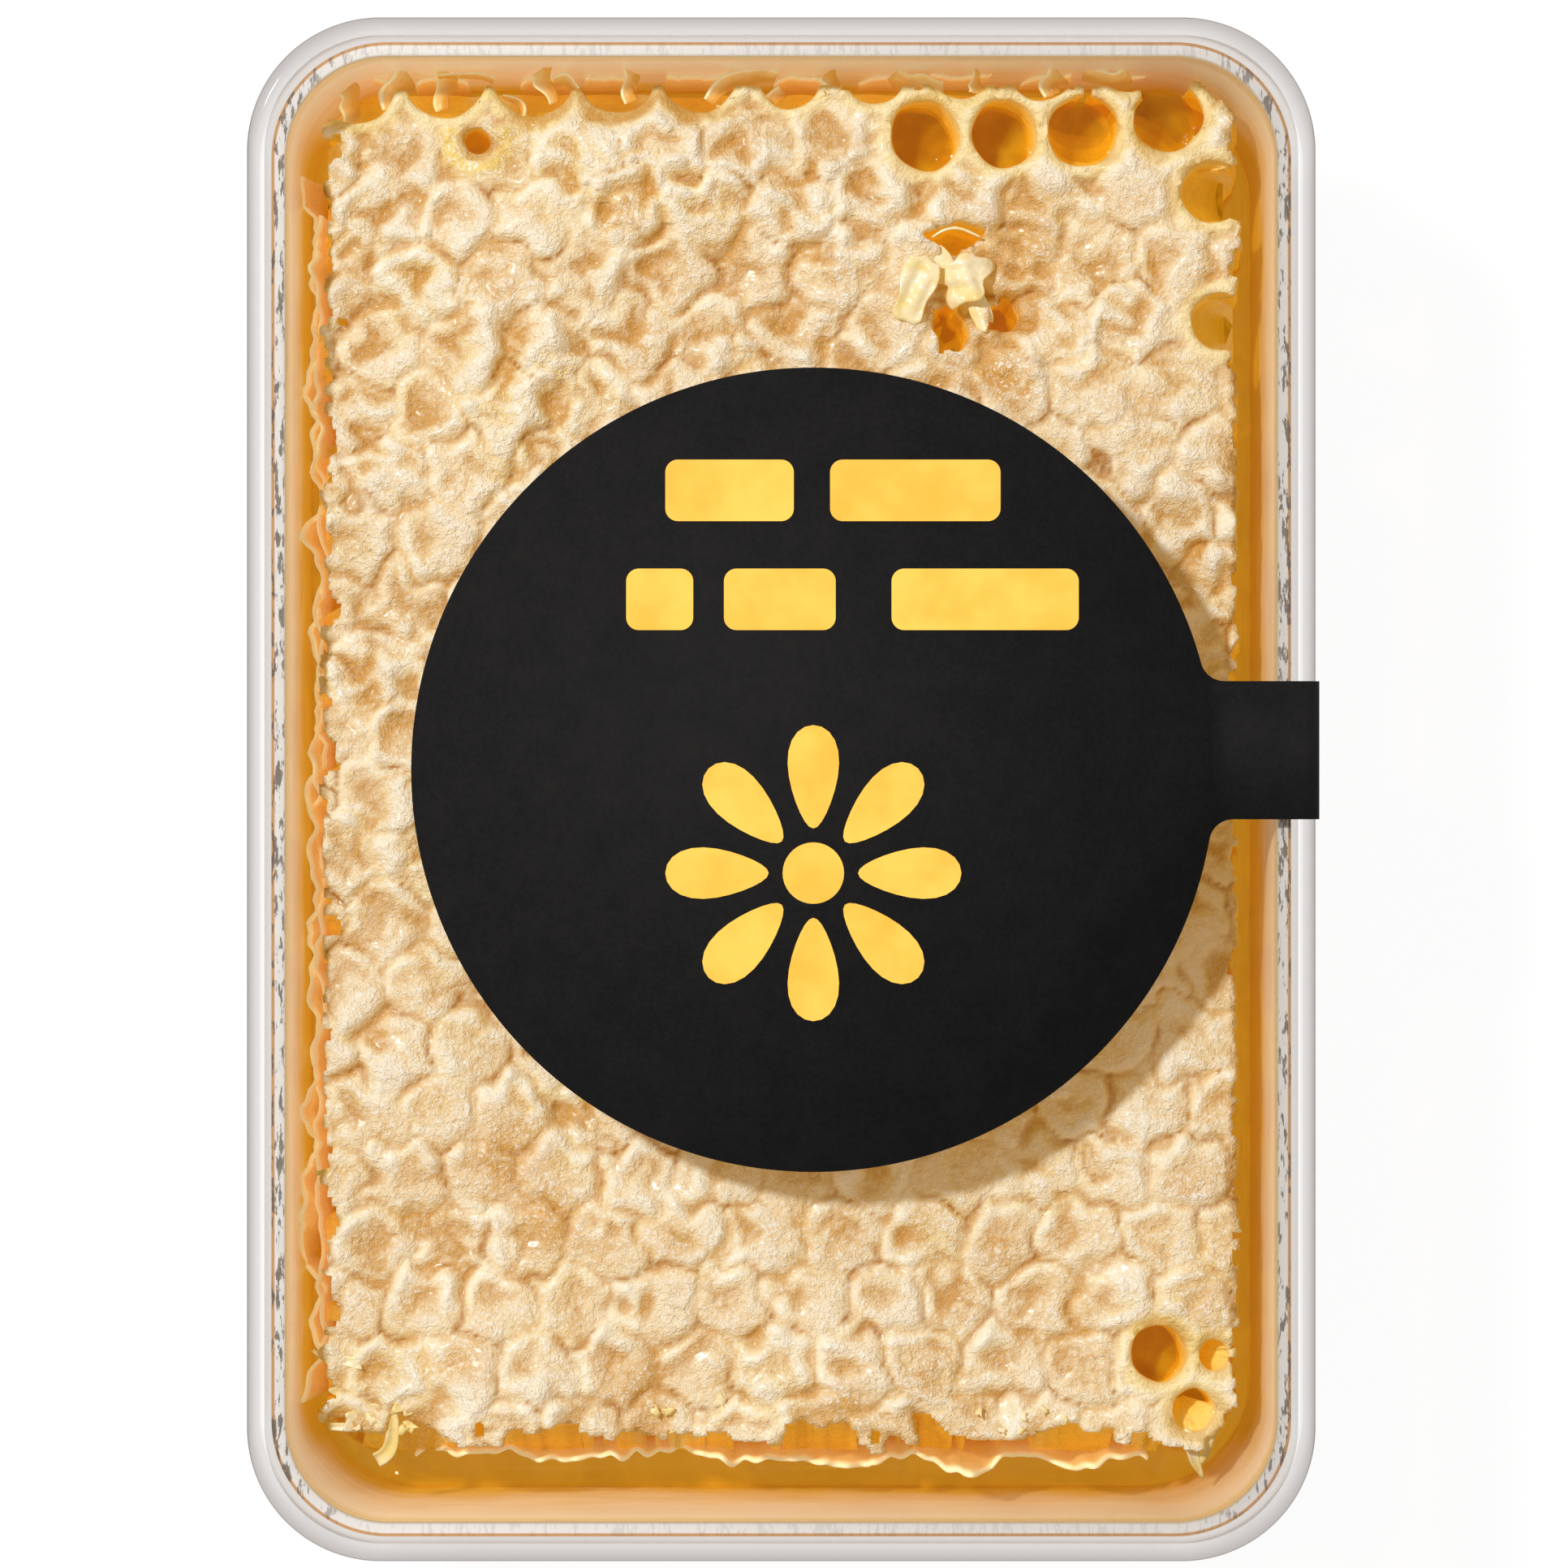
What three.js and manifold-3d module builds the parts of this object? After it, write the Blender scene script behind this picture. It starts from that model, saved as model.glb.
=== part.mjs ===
// A shut clear box of cut comb honey, lying flat with its lid and round label up.
// Millimetres, +Z up, +Y along the box, origin under the middle of the tray.

import * as THREE from 'three';
import { mergeVertices } from 'three/addons/utils/BufferGeometryUtils.js';
import Module from 'manifold-3d';

const wasm = await Module();
wasm.setup();

// Room left between pieces that touch
const CLEARANCE = 0.3;

// Tray: an open moulded box, its walls leaning out towards the rim
const TRAY_HALF_WIDTH = 36.65;
const TRAY_HALF_LENGTH = 53.7;
const TRAY_CORNER = 8.4;
const TRAY_RIM = 34.5;
const TRAY_FLOOR = 1.2;
const TRAY_WALL = 1.0;
const TRAY_FOOT_RADIUS = 3.4;
const TRAY_DRAFT = 0.026;

// Lid: a flat plate with a skirt that slides down outside the tray
const LID_HALF_WIDTH = 38.35;
const LID_HALF_LENGTH = 55.4;
const LID_CORNER = 9.6;
const LID_TOP = 36;
const LID_PLATE = 1.2;
const LID_SKIRT_WALL = 1.2;
const LID_SKIRT_END = 24;
const LID_EDGE_RADIUS = 0.9;

// Label: a round paper sheet with a tab folded over the right edge as a seal
const LABEL_RADIUS = 28.8;
const LABEL_X = 2.3;
const LABEL_Y = 1.4;
const LABEL_THICKNESS = 0.25;
const LABEL_GAP = 0.12;
const TAB_HALF_WIDTH = 4.95;
const TAB_Y = 2.8;
const TAB_FILLET = 1.7;
const TAB_END = 17;

// Comb: a slab cut from a frame, two layers of cells back to back on a midrib
const COMB_LEFT = -33;
const COMB_RIGHT = 32.8;
const COMB_NEAR = -47.7;
const COMB_FAR = 51.2;
const COMB_CORNER = 5;
const COMB_TOP = 29;
const COMB_MIDRIB = 15.4;
const COMB_BASE = TRAY_FLOOR + CLEARANCE;
const COMB_SPREAD = 1.15;
const COMB_UNDERCUT = 1.9;
const COMB_FOOT_SHARE = 0.12;
const COMB_WAVE = 0.3;
const COMB_OUTLINE_POINTS = 72;
const COMB_SIDE_STEPS = 5;

// Cells: rows run across the slab, broader at the far end
const CELL_PITCH_FAR = 6.2;
const CELL_PITCH_LOSS = 0.03;
const ROW_PITCH = 4.72;
const ROW_DRIFT = 0.143;
const ROW_TILT = 0.038;
const ROW_COUNT = 21;
const ANCHOR_X = 16.14;
const ANCHOR_Y = 47.7;
const CELL_JITTER = 0.28;
const CELL_BORE = 2.45;
const FAR_CELL_BORE = 2.9;
const CELL_FLOOR_GAP = 0.5;
const CUT_CELL_INSIDE = 1.6;
const CUT_CELL_OUTSIDE = 1.7;
const CAP_THICKNESS = 1.5;
const CAP_RISE = 0.5;
const CAP_DENT = 0.45;
const CAP_CRACK = 0.45;
const CAP_RIM_SHARE = 0.64;

// Open cells, as row and place along the row from the anchor cell
const OPEN_CELLS = [
  [0, -1],
  [0, 0],
  [0, 1],
  [0, 2],
  [1, 2.5],
  [3, 2.5],
  [19, 1.5],
  [19, 2.5],
  [20, 2],
];
const OPEN_CELL_FLOOR = 19;
const OPEN_CELL_BORE = 2.35;

// A small hole in one cap, and a torn patch where several caps are gone
const PIN_HOLE = { x: -22.2, y: 47.6, radius: 1, floor: 22 };
const TORN_PATCH = { x: 14.9, y: 36.4, radius: 5.2, depth: 2.2 };

// Honey: what has run out of the cut cells and lies round the comb
const HONEY_LEVEL = 17;

const material = (color, roughness, opacity = 1) => new THREE.MeshStandardMaterial({
  color,
  roughness,
  metalness: 0,
  opacity,
  transparent: opacity < 1,
});

function seededRandom(seed) {
  let state = seed;
  return () => {
    state = (state + 0x6d2b79f5) | 0;
    let mixed = Math.imul(state ^ (state >>> 15), 1 | state);
    mixed = (mixed + Math.imul(mixed ^ (mixed >>> 7), 61 | mixed)) ^ mixed;
    return ((mixed ^ (mixed >>> 14)) >>> 0) / 4294967296;
  };
}

function solidOf(geometry) {
  const bare = geometry.clone();
  bare.deleteAttribute('normal');
  bare.deleteAttribute('uv');
  const merged = mergeVertices(bare, 1e-4);
  const vertProperties = new Float32Array(merged.attributes.position.array);
  const triVerts = new Uint32Array(merged.index.array);
  return new wasm.Manifold(new wasm.Mesh({ numProp: 3, vertProperties, triVerts }));
}

function geometryOf(solid) {
  const mesh = solid.getMesh();
  const geometry = new THREE.BufferGeometry();
  geometry.setAttribute('position', new THREE.BufferAttribute(mesh.vertProperties, 3));
  geometry.setIndex(new THREE.BufferAttribute(mesh.triVerts, 1));
  geometry.computeVertexNormals();
  return geometry;
}

function roundedRectangle(halfWidth, halfLength, radius) {
  const shape = new THREE.Shape();
  shape.absarc(halfWidth - radius, radius - halfLength, radius, -Math.PI / 2, 0);
  shape.absarc(halfWidth - radius, halfLength - radius, radius, 0, Math.PI / 2);
  shape.absarc(radius - halfWidth, halfLength - radius, radius, Math.PI / 2, Math.PI);
  shape.absarc(radius - halfWidth, radius - halfLength, radius, Math.PI, 1.5 * Math.PI);
  shape.closePath();
  return shape;
}

// A block with rounded upright corners and, where edge is given, rounded long edges
function roundedBlock({ halfWidth, halfLength, corner, from, to, edge = 0 }) {
  const geometry = new THREE.ExtrudeGeometry(roundedRectangle(halfWidth, halfLength, corner), {
    depth: to - from - 2 * edge,
    curveSegments: 6,
    bevelEnabled: edge > 0,
    bevelThickness: edge,
    bevelSize: edge,
    bevelOffset: -edge,
    bevelSegments: 3,
  });
  geometry.translate(0, 0, from + edge);
  return geometry;
}

// Leans a block's walls out, so that it has its stated size at the given height
function drafted(geometry, halfWidth, halfLength, height, draft) {
  const position = geometry.attributes.position;
  for (let i = 0; i < position.count; i += 1) {
    const lean = draft * (position.getZ(i) - height);
    position.setX(i, position.getX(i) * (1 + lean / halfWidth));
    position.setY(i, position.getY(i) * (1 + lean / halfLength));
  }
  return geometry;
}

function above(height) {
  const size = 4 * TRAY_HALF_LENGTH;
  const box = new THREE.BoxGeometry(size, size, size);
  box.translate(0, 0, height + size / 2);
  return solidOf(box);
}

// The tray's outline, drawn in by a distance all round
function trayBlock(inset, from, to) {
  const halfWidth = TRAY_HALF_WIDTH - inset;
  const halfLength = TRAY_HALF_LENGTH - inset;
  const edge = Math.max(TRAY_FOOT_RADIUS - inset, 1);
  const block = roundedBlock({
    halfWidth,
    halfLength,
    corner: TRAY_CORNER - inset,
    from,
    to: to + 2 * edge,
    edge,
  });
  drafted(block, halfWidth, halfLength, TRAY_RIM, TRAY_DRAFT);
  return solidOf(block).subtract(above(to));
}

function tray() {
  const outside = trayBlock(0, 0, TRAY_RIM);
  const inside = trayBlock(TRAY_WALL, TRAY_FLOOR, TRAY_RIM + 2);
  return geometryOf(outside.subtract(inside));
}

function lid() {
  const outside = roundedBlock({
    halfWidth: LID_HALF_WIDTH,
    halfLength: LID_HALF_LENGTH,
    corner: LID_CORNER,
    from: LID_SKIRT_END - 2 * LID_EDGE_RADIUS,
    to: LID_TOP,
    edge: LID_EDGE_RADIUS,
  });
  const inside = roundedBlock({
    halfWidth: LID_HALF_WIDTH - LID_SKIRT_WALL,
    halfLength: LID_HALF_LENGTH - LID_SKIRT_WALL,
    corner: LID_CORNER - LID_SKIRT_WALL,
    from: LID_SKIRT_END - 4,
    to: LID_TOP - LID_PLATE,
  });
  const below = new THREE.BoxGeometry(200, 200, 40);
  below.translate(0, 0, LID_SKIRT_END - 20);
  return geometryOf(solidOf(outside).subtract(solidOf(inside)).subtract(solidOf(below)));
}

// The label's flat face: a disc, and a tab that meets it in two hollow fillets
function labelFace(reach) {
  const filletY = TAB_Y - LABEL_Y;
  const discRadius = LABEL_RADIUS + TAB_FILLET;
  const rise = TAB_HALF_WIDTH + TAB_FILLET;
  const upper = Math.asin((filletY + rise) / discRadius);
  const lower = Math.asin((filletY - rise) / discRadius);
  const shape = new THREE.Shape();
  const upperX = LABEL_X + discRadius * Math.cos(upper);
  const lowerX = LABEL_X + discRadius * Math.cos(lower);
  shape.absarc(LABEL_X, LABEL_Y, LABEL_RADIUS, upper, lower + 2 * Math.PI);
  shape.absarc(lowerX, TAB_Y - rise, TAB_FILLET, lower + Math.PI, Math.PI / 2, true);
  shape.lineTo(reach, TAB_Y - TAB_HALF_WIDTH);
  shape.lineTo(reach, TAB_Y + TAB_HALF_WIDTH);
  shape.absarc(upperX, TAB_Y + rise, TAB_FILLET, 1.5 * Math.PI, upper + Math.PI, true);
  shape.closePath();
  return shape;
}

// The folded end of the tab, drawn as seen from the side: over the lid's edge,
// down its skirt and in under it to the tray's wall
function tabFold() {
  const inner = LID_EDGE_RADIUS + LABEL_GAP;
  const outer = inner + LABEL_THICKNESS;
  const bendX = LID_HALF_WIDTH - LID_EDGE_RADIUS;
  const bendZ = LID_TOP - LID_EDGE_RADIUS;
  const lean = TRAY_DRAFT * (TAB_END - TRAY_RIM);
  const wallX = TRAY_HALF_WIDTH + LABEL_GAP;
  const tuck = LID_SKIRT_END - 2.2;
  const profile = new THREE.Shape();
  profile.moveTo(bendX - 1, bendZ + inner);
  profile.absarc(bendX, bendZ, inner, Math.PI / 2, 0, true);
  profile.lineTo(bendX + inner, LID_SKIRT_END - 0.3);
  profile.lineTo(wallX, tuck);
  profile.lineTo(wallX + lean, TAB_END);
  profile.lineTo(wallX + lean + LABEL_THICKNESS, TAB_END);
  profile.lineTo(wallX + LABEL_THICKNESS, tuck);
  profile.lineTo(bendX + outer, LID_SKIRT_END - 0.3);
  profile.absarc(bendX, bendZ, outer, 0, Math.PI / 2);
  profile.lineTo(bendX - 1, bendZ + outer);
  profile.closePath();
  const fold = new THREE.ExtrudeGeometry(profile, {
    depth: 2 * TAB_HALF_WIDTH,
    curveSegments: 5,
    bevelEnabled: false,
  });
  fold.rotateX(Math.PI / 2);
  fold.translate(0, TAB_Y + TAB_HALF_WIDTH, 0);
  return fold;
}

function label() {
  const face = new THREE.ExtrudeGeometry(labelFace(LID_HALF_WIDTH - LID_EDGE_RADIUS), {
    depth: LABEL_THICKNESS,
    curveSegments: 30,
    bevelEnabled: false,
  });
  face.translate(0, 0, LID_TOP + LABEL_GAP);
  return geometryOf(solidOf(face).add(solidOf(tabFold())));
}

// The comb's cut outline at cap height: nearly straight knife cuts, a little wavy
function combOutline() {
  const halfWidth = (COMB_RIGHT - COMB_LEFT) / 2;
  const halfLength = (COMB_FAR - COMB_NEAR) / 2;
  const edge = roundedRectangle(halfWidth, halfLength, COMB_CORNER).getSpacedPoints(COMB_OUTLINE_POINTS);
  edge.pop();
  const wavy = edge.map((point, i) => {
    const angle = (i / edge.length) * 2 * Math.PI;
    const wave = COMB_WAVE * (Math.sin(13 * angle + 1) + 0.6 * Math.sin(29 * angle + 2)) / 1.6;
    const inward = 1 - (COMB_WAVE - wave) / halfWidth;
    return new THREE.Vector2(point.x * inward, point.y * inward);
  });
  return new THREE.Shape(wavy);
}

// At a height, how far the slab has spread past its cut outline, and how far its
// bottom edge is drawn in to clear the rounded foot of the tray
function sideShape(height) {
  const rise = (height - COMB_BASE) / (COMB_TOP - COMB_BASE);
  const foot = Math.min(rise / COMB_FOOT_SHARE, 1);
  return { spread: COMB_SPREAD * (1 - rise ** 2), drawnIn: COMB_UNDERCUT * (1 - foot) };
}

function combBody(growth, top) {
  const body = new THREE.ExtrudeGeometry(combOutline(), {
    depth: top - COMB_BASE + growth,
    steps: COMB_SIDE_STEPS,
    bevelEnabled: false,
  });
  body.translate(0, 0, COMB_BASE - growth);
  const halfWidth = (COMB_RIGHT - COMB_LEFT) / 2;
  const halfLength = (COMB_FAR - COMB_NEAR) / 2;
  const position = body.attributes.position;
  for (let i = 0; i < position.count; i += 1) {
    const { spread, drawnIn } = sideShape(Math.max(position.getZ(i), COMB_BASE));
    const outward = spread - drawnIn + growth;
    position.setX(i, position.getX(i) * (1 + outward / halfWidth));
    position.setY(i, position.getY(i) * (1 + outward / halfLength) - spread);
  }
  body.translate((COMB_LEFT + COMB_RIGHT) / 2, (COMB_NEAR + COMB_FAR) / 2, 0);
  return solidOf(body);
}

// A cell's centre, from its row and its place along the row
function latticePoint(row, place) {
  const pitch = CELL_PITCH_FAR - CELL_PITCH_LOSS * row;
  const x = ANCHOR_X + place * pitch + ROW_DRIFT * row;
  const tilt = ROW_TILT * (1 - row / ROW_COUNT);
  return new THREE.Vector2(x, ANCHOR_Y - ROW_PITCH * row + tilt * (x - ANCHOR_X));
}

function cellLattice() {
  const random = seededRandom(7);
  const cells = new Map();
  for (let row = -3; row <= ROW_COUNT + 3; row += 1) {
    const shift = row % 2 === 0 ? 0 : 0.5;
    for (let column = -12; column <= 6; column += 1) {
      const centre = latticePoint(row, column + shift);
      centre.x += CELL_JITTER * (2 * random() - 1);
      centre.y += CELL_JITTER * (2 * random() - 1);
      const mood = { rise: random(), dent: random(), crack: random() };
      cells.set(`${row},${column + shift}`, { row, place: column + shift, centre, mood });
    }
  }
  return cells;
}

// The six cells round a cell, in order anticlockwise from the one on its right
function neighbours(cells, { row, place }) {
  const steps = [[0, 1], [-1, 0.5], [-1, -0.5], [0, -1], [1, -0.5], [1, 0.5]];
  return steps.map(([down, along]) => cells.get(`${row + down},${place + along}`));
}

function tornDip(x, y) {
  const distance = Math.hypot(x - TORN_PATCH.x, y - TORN_PATCH.y) / TORN_PATCH.radius;
  return TORN_PATCH.depth * Math.max(0, 1 - distance ** 2);
}

// The capped face: in each cell a dented cushion of wax, with a crack where cells meet
function cappedSheet(cells) {
  const points = [];
  const faces = [];
  const corners = new Map();
  const addPoint = (x, y, height) => points.push(x, y, COMB_TOP + height - tornDip(x, y)) / 3 - 1;
  const cornerIndex = (three) => {
    const key = three.map((cell) => `${cell.row},${cell.place}`).sort().join(' ');
    if (!corners.has(key)) {
      const middle = new THREE.Vector2();
      three.forEach((cell) => middle.addScaledVector(cell.centre, 1 / 3));
      corners.set(key, addPoint(middle.x, middle.y, -CAP_CRACK * three[0].mood.crack));
    }
    return corners.get(key);
  };
  for (const cell of cells.values()) {
    const around = neighbours(cells, cell);
    if (around.some((other) => other === undefined)) continue;
    const rim = around.map((other, i) => cornerIndex([cell, other, around[(i + 1) % 6]]));
    const rise = CAP_RISE * (0.4 + 0.6 * cell.mood.rise);
    const dent = CAP_DENT * cell.mood.dent;
    const centre = addPoint(cell.centre.x, cell.centre.y, rise - dent);
    const inner = rim.map((corner) => {
      const x = THREE.MathUtils.lerp(cell.centre.x, points[3 * corner], CAP_RIM_SHARE);
      const y = THREE.MathUtils.lerp(cell.centre.y, points[3 * corner + 1], CAP_RIM_SHARE);
      return addPoint(x, y, rise);
    });
    for (let i = 0; i < 6; i += 1) {
      const next = (i + 1) % 6;
      faces.push([centre, inner[i], inner[next]]);
      faces.push([inner[i], rim[i], rim[next]]);
      faces.push([inner[i], rim[next], inner[next]]);
    }
  }
  return { points, faces };
}

// Closes an upward-facing sheet into a solid by walls and a floor under its rim
function closedBelow({ points, faces }, height) {
  const used = new Set();
  faces.forEach((face) => face.forEach((a, i) => used.add(`${a},${face[(i + 1) % 3]}`)));
  const lowered = new Map();
  const closed = points.slice();
  const all = faces.slice();
  const lower = (index) => {
    if (!lowered.has(index)) {
      lowered.set(index, closed.push(points[3 * index], points[3 * index + 1], height) / 3 - 1);
    }
    return lowered.get(index);
  };
  const hub = closed.push(0, 0, height) / 3 - 1;
  for (const edge of used) {
    const [a, b] = edge.split(',').map(Number);
    if (used.has(`${b},${a}`)) continue;
    all.push([a, lower(a), b], [b, lower(a), lower(b)], [lower(b), lower(a), hub]);
  }
  const geometry = new THREE.BufferGeometry();
  geometry.setAttribute('position', new THREE.Float32BufferAttribute(closed, 3));
  geometry.setIndex(all.flat());
  return solidOf(geometry);
}

function bore({ x, y, radius, floor, ceiling, sides = 8 }) {
  const cylinder = new THREE.CylinderGeometry(radius, 0.9 * radius, ceiling - floor, sides);
  cylinder.rotateX(Math.PI / 2);
  cylinder.rotateZ(Math.PI / sides);
  cylinder.translate(x, y, (floor + ceiling) / 2);
  return solidOf(cylinder);
}

// How far a point lies inside the slab's cut outline, negative outside
function depthInside({ x, y }) {
  return Math.min(x - COMB_LEFT, COMB_RIGHT - x, y - COMB_NEAR, COMB_FAR - y);
}

// Cells that the knife has opened show as flutes down the slab's sides. Along the
// far side their caps are gone too.
function cutFlutes(cells) {
  const flutes = [];
  for (const { centre } of cells.values()) {
    const depth = depthInside(centre);
    if (depth > CUT_CELL_INSIDE || depth < -CUT_CELL_OUTSIDE) continue;
    const capGone = COMB_FAR - centre.y < CUT_CELL_INSIDE;
    flutes.push(bore({
      x: centre.x,
      y: centre.y,
      radius: capGone ? FAR_CELL_BORE : CELL_BORE,
      floor: COMB_MIDRIB + CELL_FLOOR_GAP,
      ceiling: capGone ? COMB_TOP + 3 : COMB_TOP - CAP_THICKNESS,
    }));
  }
  return flutes;
}

function openCells(cells) {
  const holes = OPEN_CELLS.map(([row, place]) => {
    const { x, y } = cells.get(`${row},${place}`).centre;
    return bore({
      x,
      y,
      radius: OPEN_CELL_BORE,
      floor: OPEN_CELL_FLOOR,
      ceiling: COMB_TOP + 3,
      sides: 12,
    });
  });
  return [...holes, bore({ ...PIN_HOLE, ceiling: COMB_TOP + 3 })];
}

function comb() {
  const cells = cellLattice();
  let slab = closedBelow(cappedSheet(cells), COMB_BASE - 5).intersect(combBody(0, COMB_TOP + 2));
  for (const hollow of [...cutFlutes(cells), ...openCells(cells)]) slab = slab.subtract(hollow);
  return geometryOf(slab);
}

function honeyPool() {
  const inset = TRAY_WALL + CLEARANCE;
  const pool = trayBlock(inset, TRAY_FLOOR + CLEARANCE, HONEY_LEVEL);
  return geometryOf(pool.subtract(combBody(CLEARANCE, COMB_TOP + 2)));
}

function named(name, geometry, finish) {
  const mesh = new THREE.Mesh(geometry, finish);
  mesh.name = name;
  return mesh;
}

const honeycombBox = new THREE.Group();
honeycombBox.add(
  named('tray', tray(), material(0xeef0ee, 0.08, 0.3)),
  named('lid', lid(), material(0xf2f4f3, 0.08, 0.25)),
  named('label', label(), material(0x1c1c1c, 0.8)),
  named('comb', comb(), material(0xf0dcb0, 0.6)),
  named('honey_pool', honeyPool(), material(0xc87a10, 0.1, 0.9)),
);

export default honeycombBox;
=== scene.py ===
# A shut clear box of cut comb honey, seen from straight above.
# Metres, +Z up, +Y along the box towards the edge with the cut open cells.
import math

import bmesh
import bpy
import numpy as np
from mathutils import Matrix, Vector
from mathutils.kdtree import KDTree


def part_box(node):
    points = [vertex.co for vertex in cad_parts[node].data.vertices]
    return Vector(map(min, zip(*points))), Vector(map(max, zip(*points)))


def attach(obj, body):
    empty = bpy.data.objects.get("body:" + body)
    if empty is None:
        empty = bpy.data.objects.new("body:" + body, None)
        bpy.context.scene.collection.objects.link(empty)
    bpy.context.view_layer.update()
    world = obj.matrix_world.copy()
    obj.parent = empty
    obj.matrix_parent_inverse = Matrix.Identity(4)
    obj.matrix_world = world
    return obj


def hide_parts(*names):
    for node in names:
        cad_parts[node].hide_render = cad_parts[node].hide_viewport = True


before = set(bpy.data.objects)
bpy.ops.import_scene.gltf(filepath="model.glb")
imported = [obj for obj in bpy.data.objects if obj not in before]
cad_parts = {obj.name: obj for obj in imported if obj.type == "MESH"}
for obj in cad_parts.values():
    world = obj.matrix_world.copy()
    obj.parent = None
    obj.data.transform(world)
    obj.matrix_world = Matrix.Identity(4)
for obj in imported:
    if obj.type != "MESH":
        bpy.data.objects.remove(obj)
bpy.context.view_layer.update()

# Camera: straight above the box, at the distance where the inner walls show
# as much as they do in the photograph. The whole picture is square.
MM = 0.001
PHOTO_PIXELS = 1932
PIXELS_PER_MM_AT_LID = 17.2
CAMERA_OVER_LID = 450 * MM
CAMERA_X = 0.2 * MM
CAMERA_Y = 0.38 * MM
SENSOR = 36
LID_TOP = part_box("lid")[1].z

scene = bpy.context.scene


def added(name, data):
    """A new object of the scene, made from its data."""
    made = bpy.data.objects.new(name, data)
    scene.collection.objects.link(made)
    return made


picture_width = PHOTO_PIXELS / PIXELS_PER_MM_AT_LID * MM
camera = added("camera", bpy.data.cameras.new("camera"))
camera.location = (CAMERA_X, CAMERA_Y, LID_TOP + CAMERA_OVER_LID)
camera.data.sensor_width = SENSOR
camera.data.lens = SENSOR * CAMERA_OVER_LID / picture_width
scene.camera = camera

# Tray: the open lower half of the box, moulded in one piece of clear stiff plastic.
# Its walls lean out to the rim, and its foot is rounded all round.
TRAY_HALF_WIDTH, TRAY_HALF_LENGTH, TRAY_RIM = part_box("tray")[1]
TRAY_CORNER = 8.4 * MM
TRAY_FLOOR = 1.2 * MM
TRAY_WALL = 1.0 * MM
TRAY_FOOT = 3.4 * MM
TRAY_DRAFT = 0.026
RIM_ROUND = 0.3 * MM
# How much painted edge shade the tray's rim carries
RIM_SHADE = 0.2
RING_STEPS = 112
LEAST_CORNER = 0.4 * MM
PLASTIC_IOR = 1.2
PLASTIC_SHINE = 0.4


class Signal:
    """A socket among a material's nodes, so that shader maths reads as plain sums."""

    def __init__(self, tree, socket):
        self.tree = tree
        self.socket = socket

    def node(self, kind, settings, inputs, output=0):
        """Adds any node. Its settings are set first, then its sockets' values or links."""
        made = self.tree.nodes.new(kind)
        for name, value in settings.items():
            if name == "stops":
                ramp = made.color_ramp.elements
                while len(ramp) < len(value):
                    ramp.new(0.5)
                for stop, (position, colour) in zip(ramp, value):
                    stop.position = position
                    stop.color = colour
            else:
                setattr(made, name, value)
        for name, value in inputs.items():
            if isinstance(value, Signal):
                self.tree.links.new(value.socket, made.inputs[name])
            else:
                made.inputs[name].default_value = value
        return Signal(self.tree, made.outputs[output] if made.outputs else None)

    def maths(self, operation, *values):
        """A Math node on the given values, or on this signal alone where there are none."""
        values = values or (self,)
        settings = {"operation": operation, "use_clamp": False}
        return self.node("ShaderNodeMath", settings, dict(enumerate(values)))

    def __add__(self, other):
        return self.maths("ADD", self, other)

    def __sub__(self, other):
        return self.maths("SUBTRACT", self, other)

    def __rsub__(self, other):
        return self.maths("SUBTRACT", other, self)

    def __mul__(self, other):
        return self.maths("MULTIPLY", self, other)

    __radd__ = __add__
    __rmul__ = __mul__

    def between(self, low, high):
        """0 where the signal is at low, 1 at high, with a soft step between."""
        settings = {"interpolation_type": "SMOOTHSTEP"}
        return self.node("ShaderNodeMapRange", settings, {0: self, 1: low, 2: high})

    def mixed(self, first, second):
        """The first colour where the signal is 0 and the second where it is 1."""
        settings = {"data_type": "RGBA", "clamp_factor": True}
        return self.node("ShaderNodeMix", settings, {0: self, 6: first, 7: second}, 2)

    def noise(self, size, detail=2.0, roughness=0.5, distortion=0.0):
        """Cloudy noise whose patches are about the given size across."""
        inputs = {
            "Vector": self,
            "Scale": 1 / size,
            "Detail": detail,
            "Roughness": roughness,
            "Distortion": distortion,
        }
        return self.node("ShaderNodeTexNoise", {}, inputs)

    def mark(self, name):
        """The value that the mesh keeps at its points under this name."""
        return self.node("ShaderNodeAttribute", {"attribute_name": name}, {}, "Fac")

    def times(self, *factors):
        """A colour or place times a factor for each of its three parts."""
        settings = {"operation": "MULTIPLY"}
        return self.node("ShaderNodeVectorMath", settings, {0: self, 1: factors})

    def glance(self):
        """0 where the surface is seen face on and 1 where it is seen along."""
        return self.node("ShaderNodeLayerWeight", {}, {"Blend": 0.5}, 1)

    def bump(self, depth, under=None):
        """A normal from this height signal, one unit of which is depth metres."""
        inputs = {"Height": self, "Distance": depth, "Strength": 1.0}
        if under is not None:
            inputs["Normal"] = under
        return self.node("ShaderNodeBump", {}, inputs)

    def see_through(self, *colour):
        """A shader that lets light through and tints it."""
        return self.node("ShaderNodeBsdfTransparent", {}, {"Color": srgb(*colour)})

    def solid(self, inputs):
        """The usual shader of solid stuff."""
        return self.node("ShaderNodeBsdfPrincipled", {}, inputs)

    def blended(self, first, second):
        """The first shader where the signal is 0 and the second where it is 1."""
        return self.node("ShaderNodeMixShader", {}, {0: self, 1: first, 2: second})

    def shown(self):
        """Makes this shader the material's surface."""
        self.node("ShaderNodeOutputMaterial", {}, {"Surface": self})


def bare_material(name):
    """A material with no finish yet, and its object coordinates as a signal."""
    made = bpy.data.materials.new(name)
    made.use_nodes = True
    made.cycles.emission_sampling = "NONE"
    made.node_tree.nodes.clear()
    start = Signal(made.node_tree, None)
    return made, start.node("ShaderNodeTexCoord", {}, {}, "Object")


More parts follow.
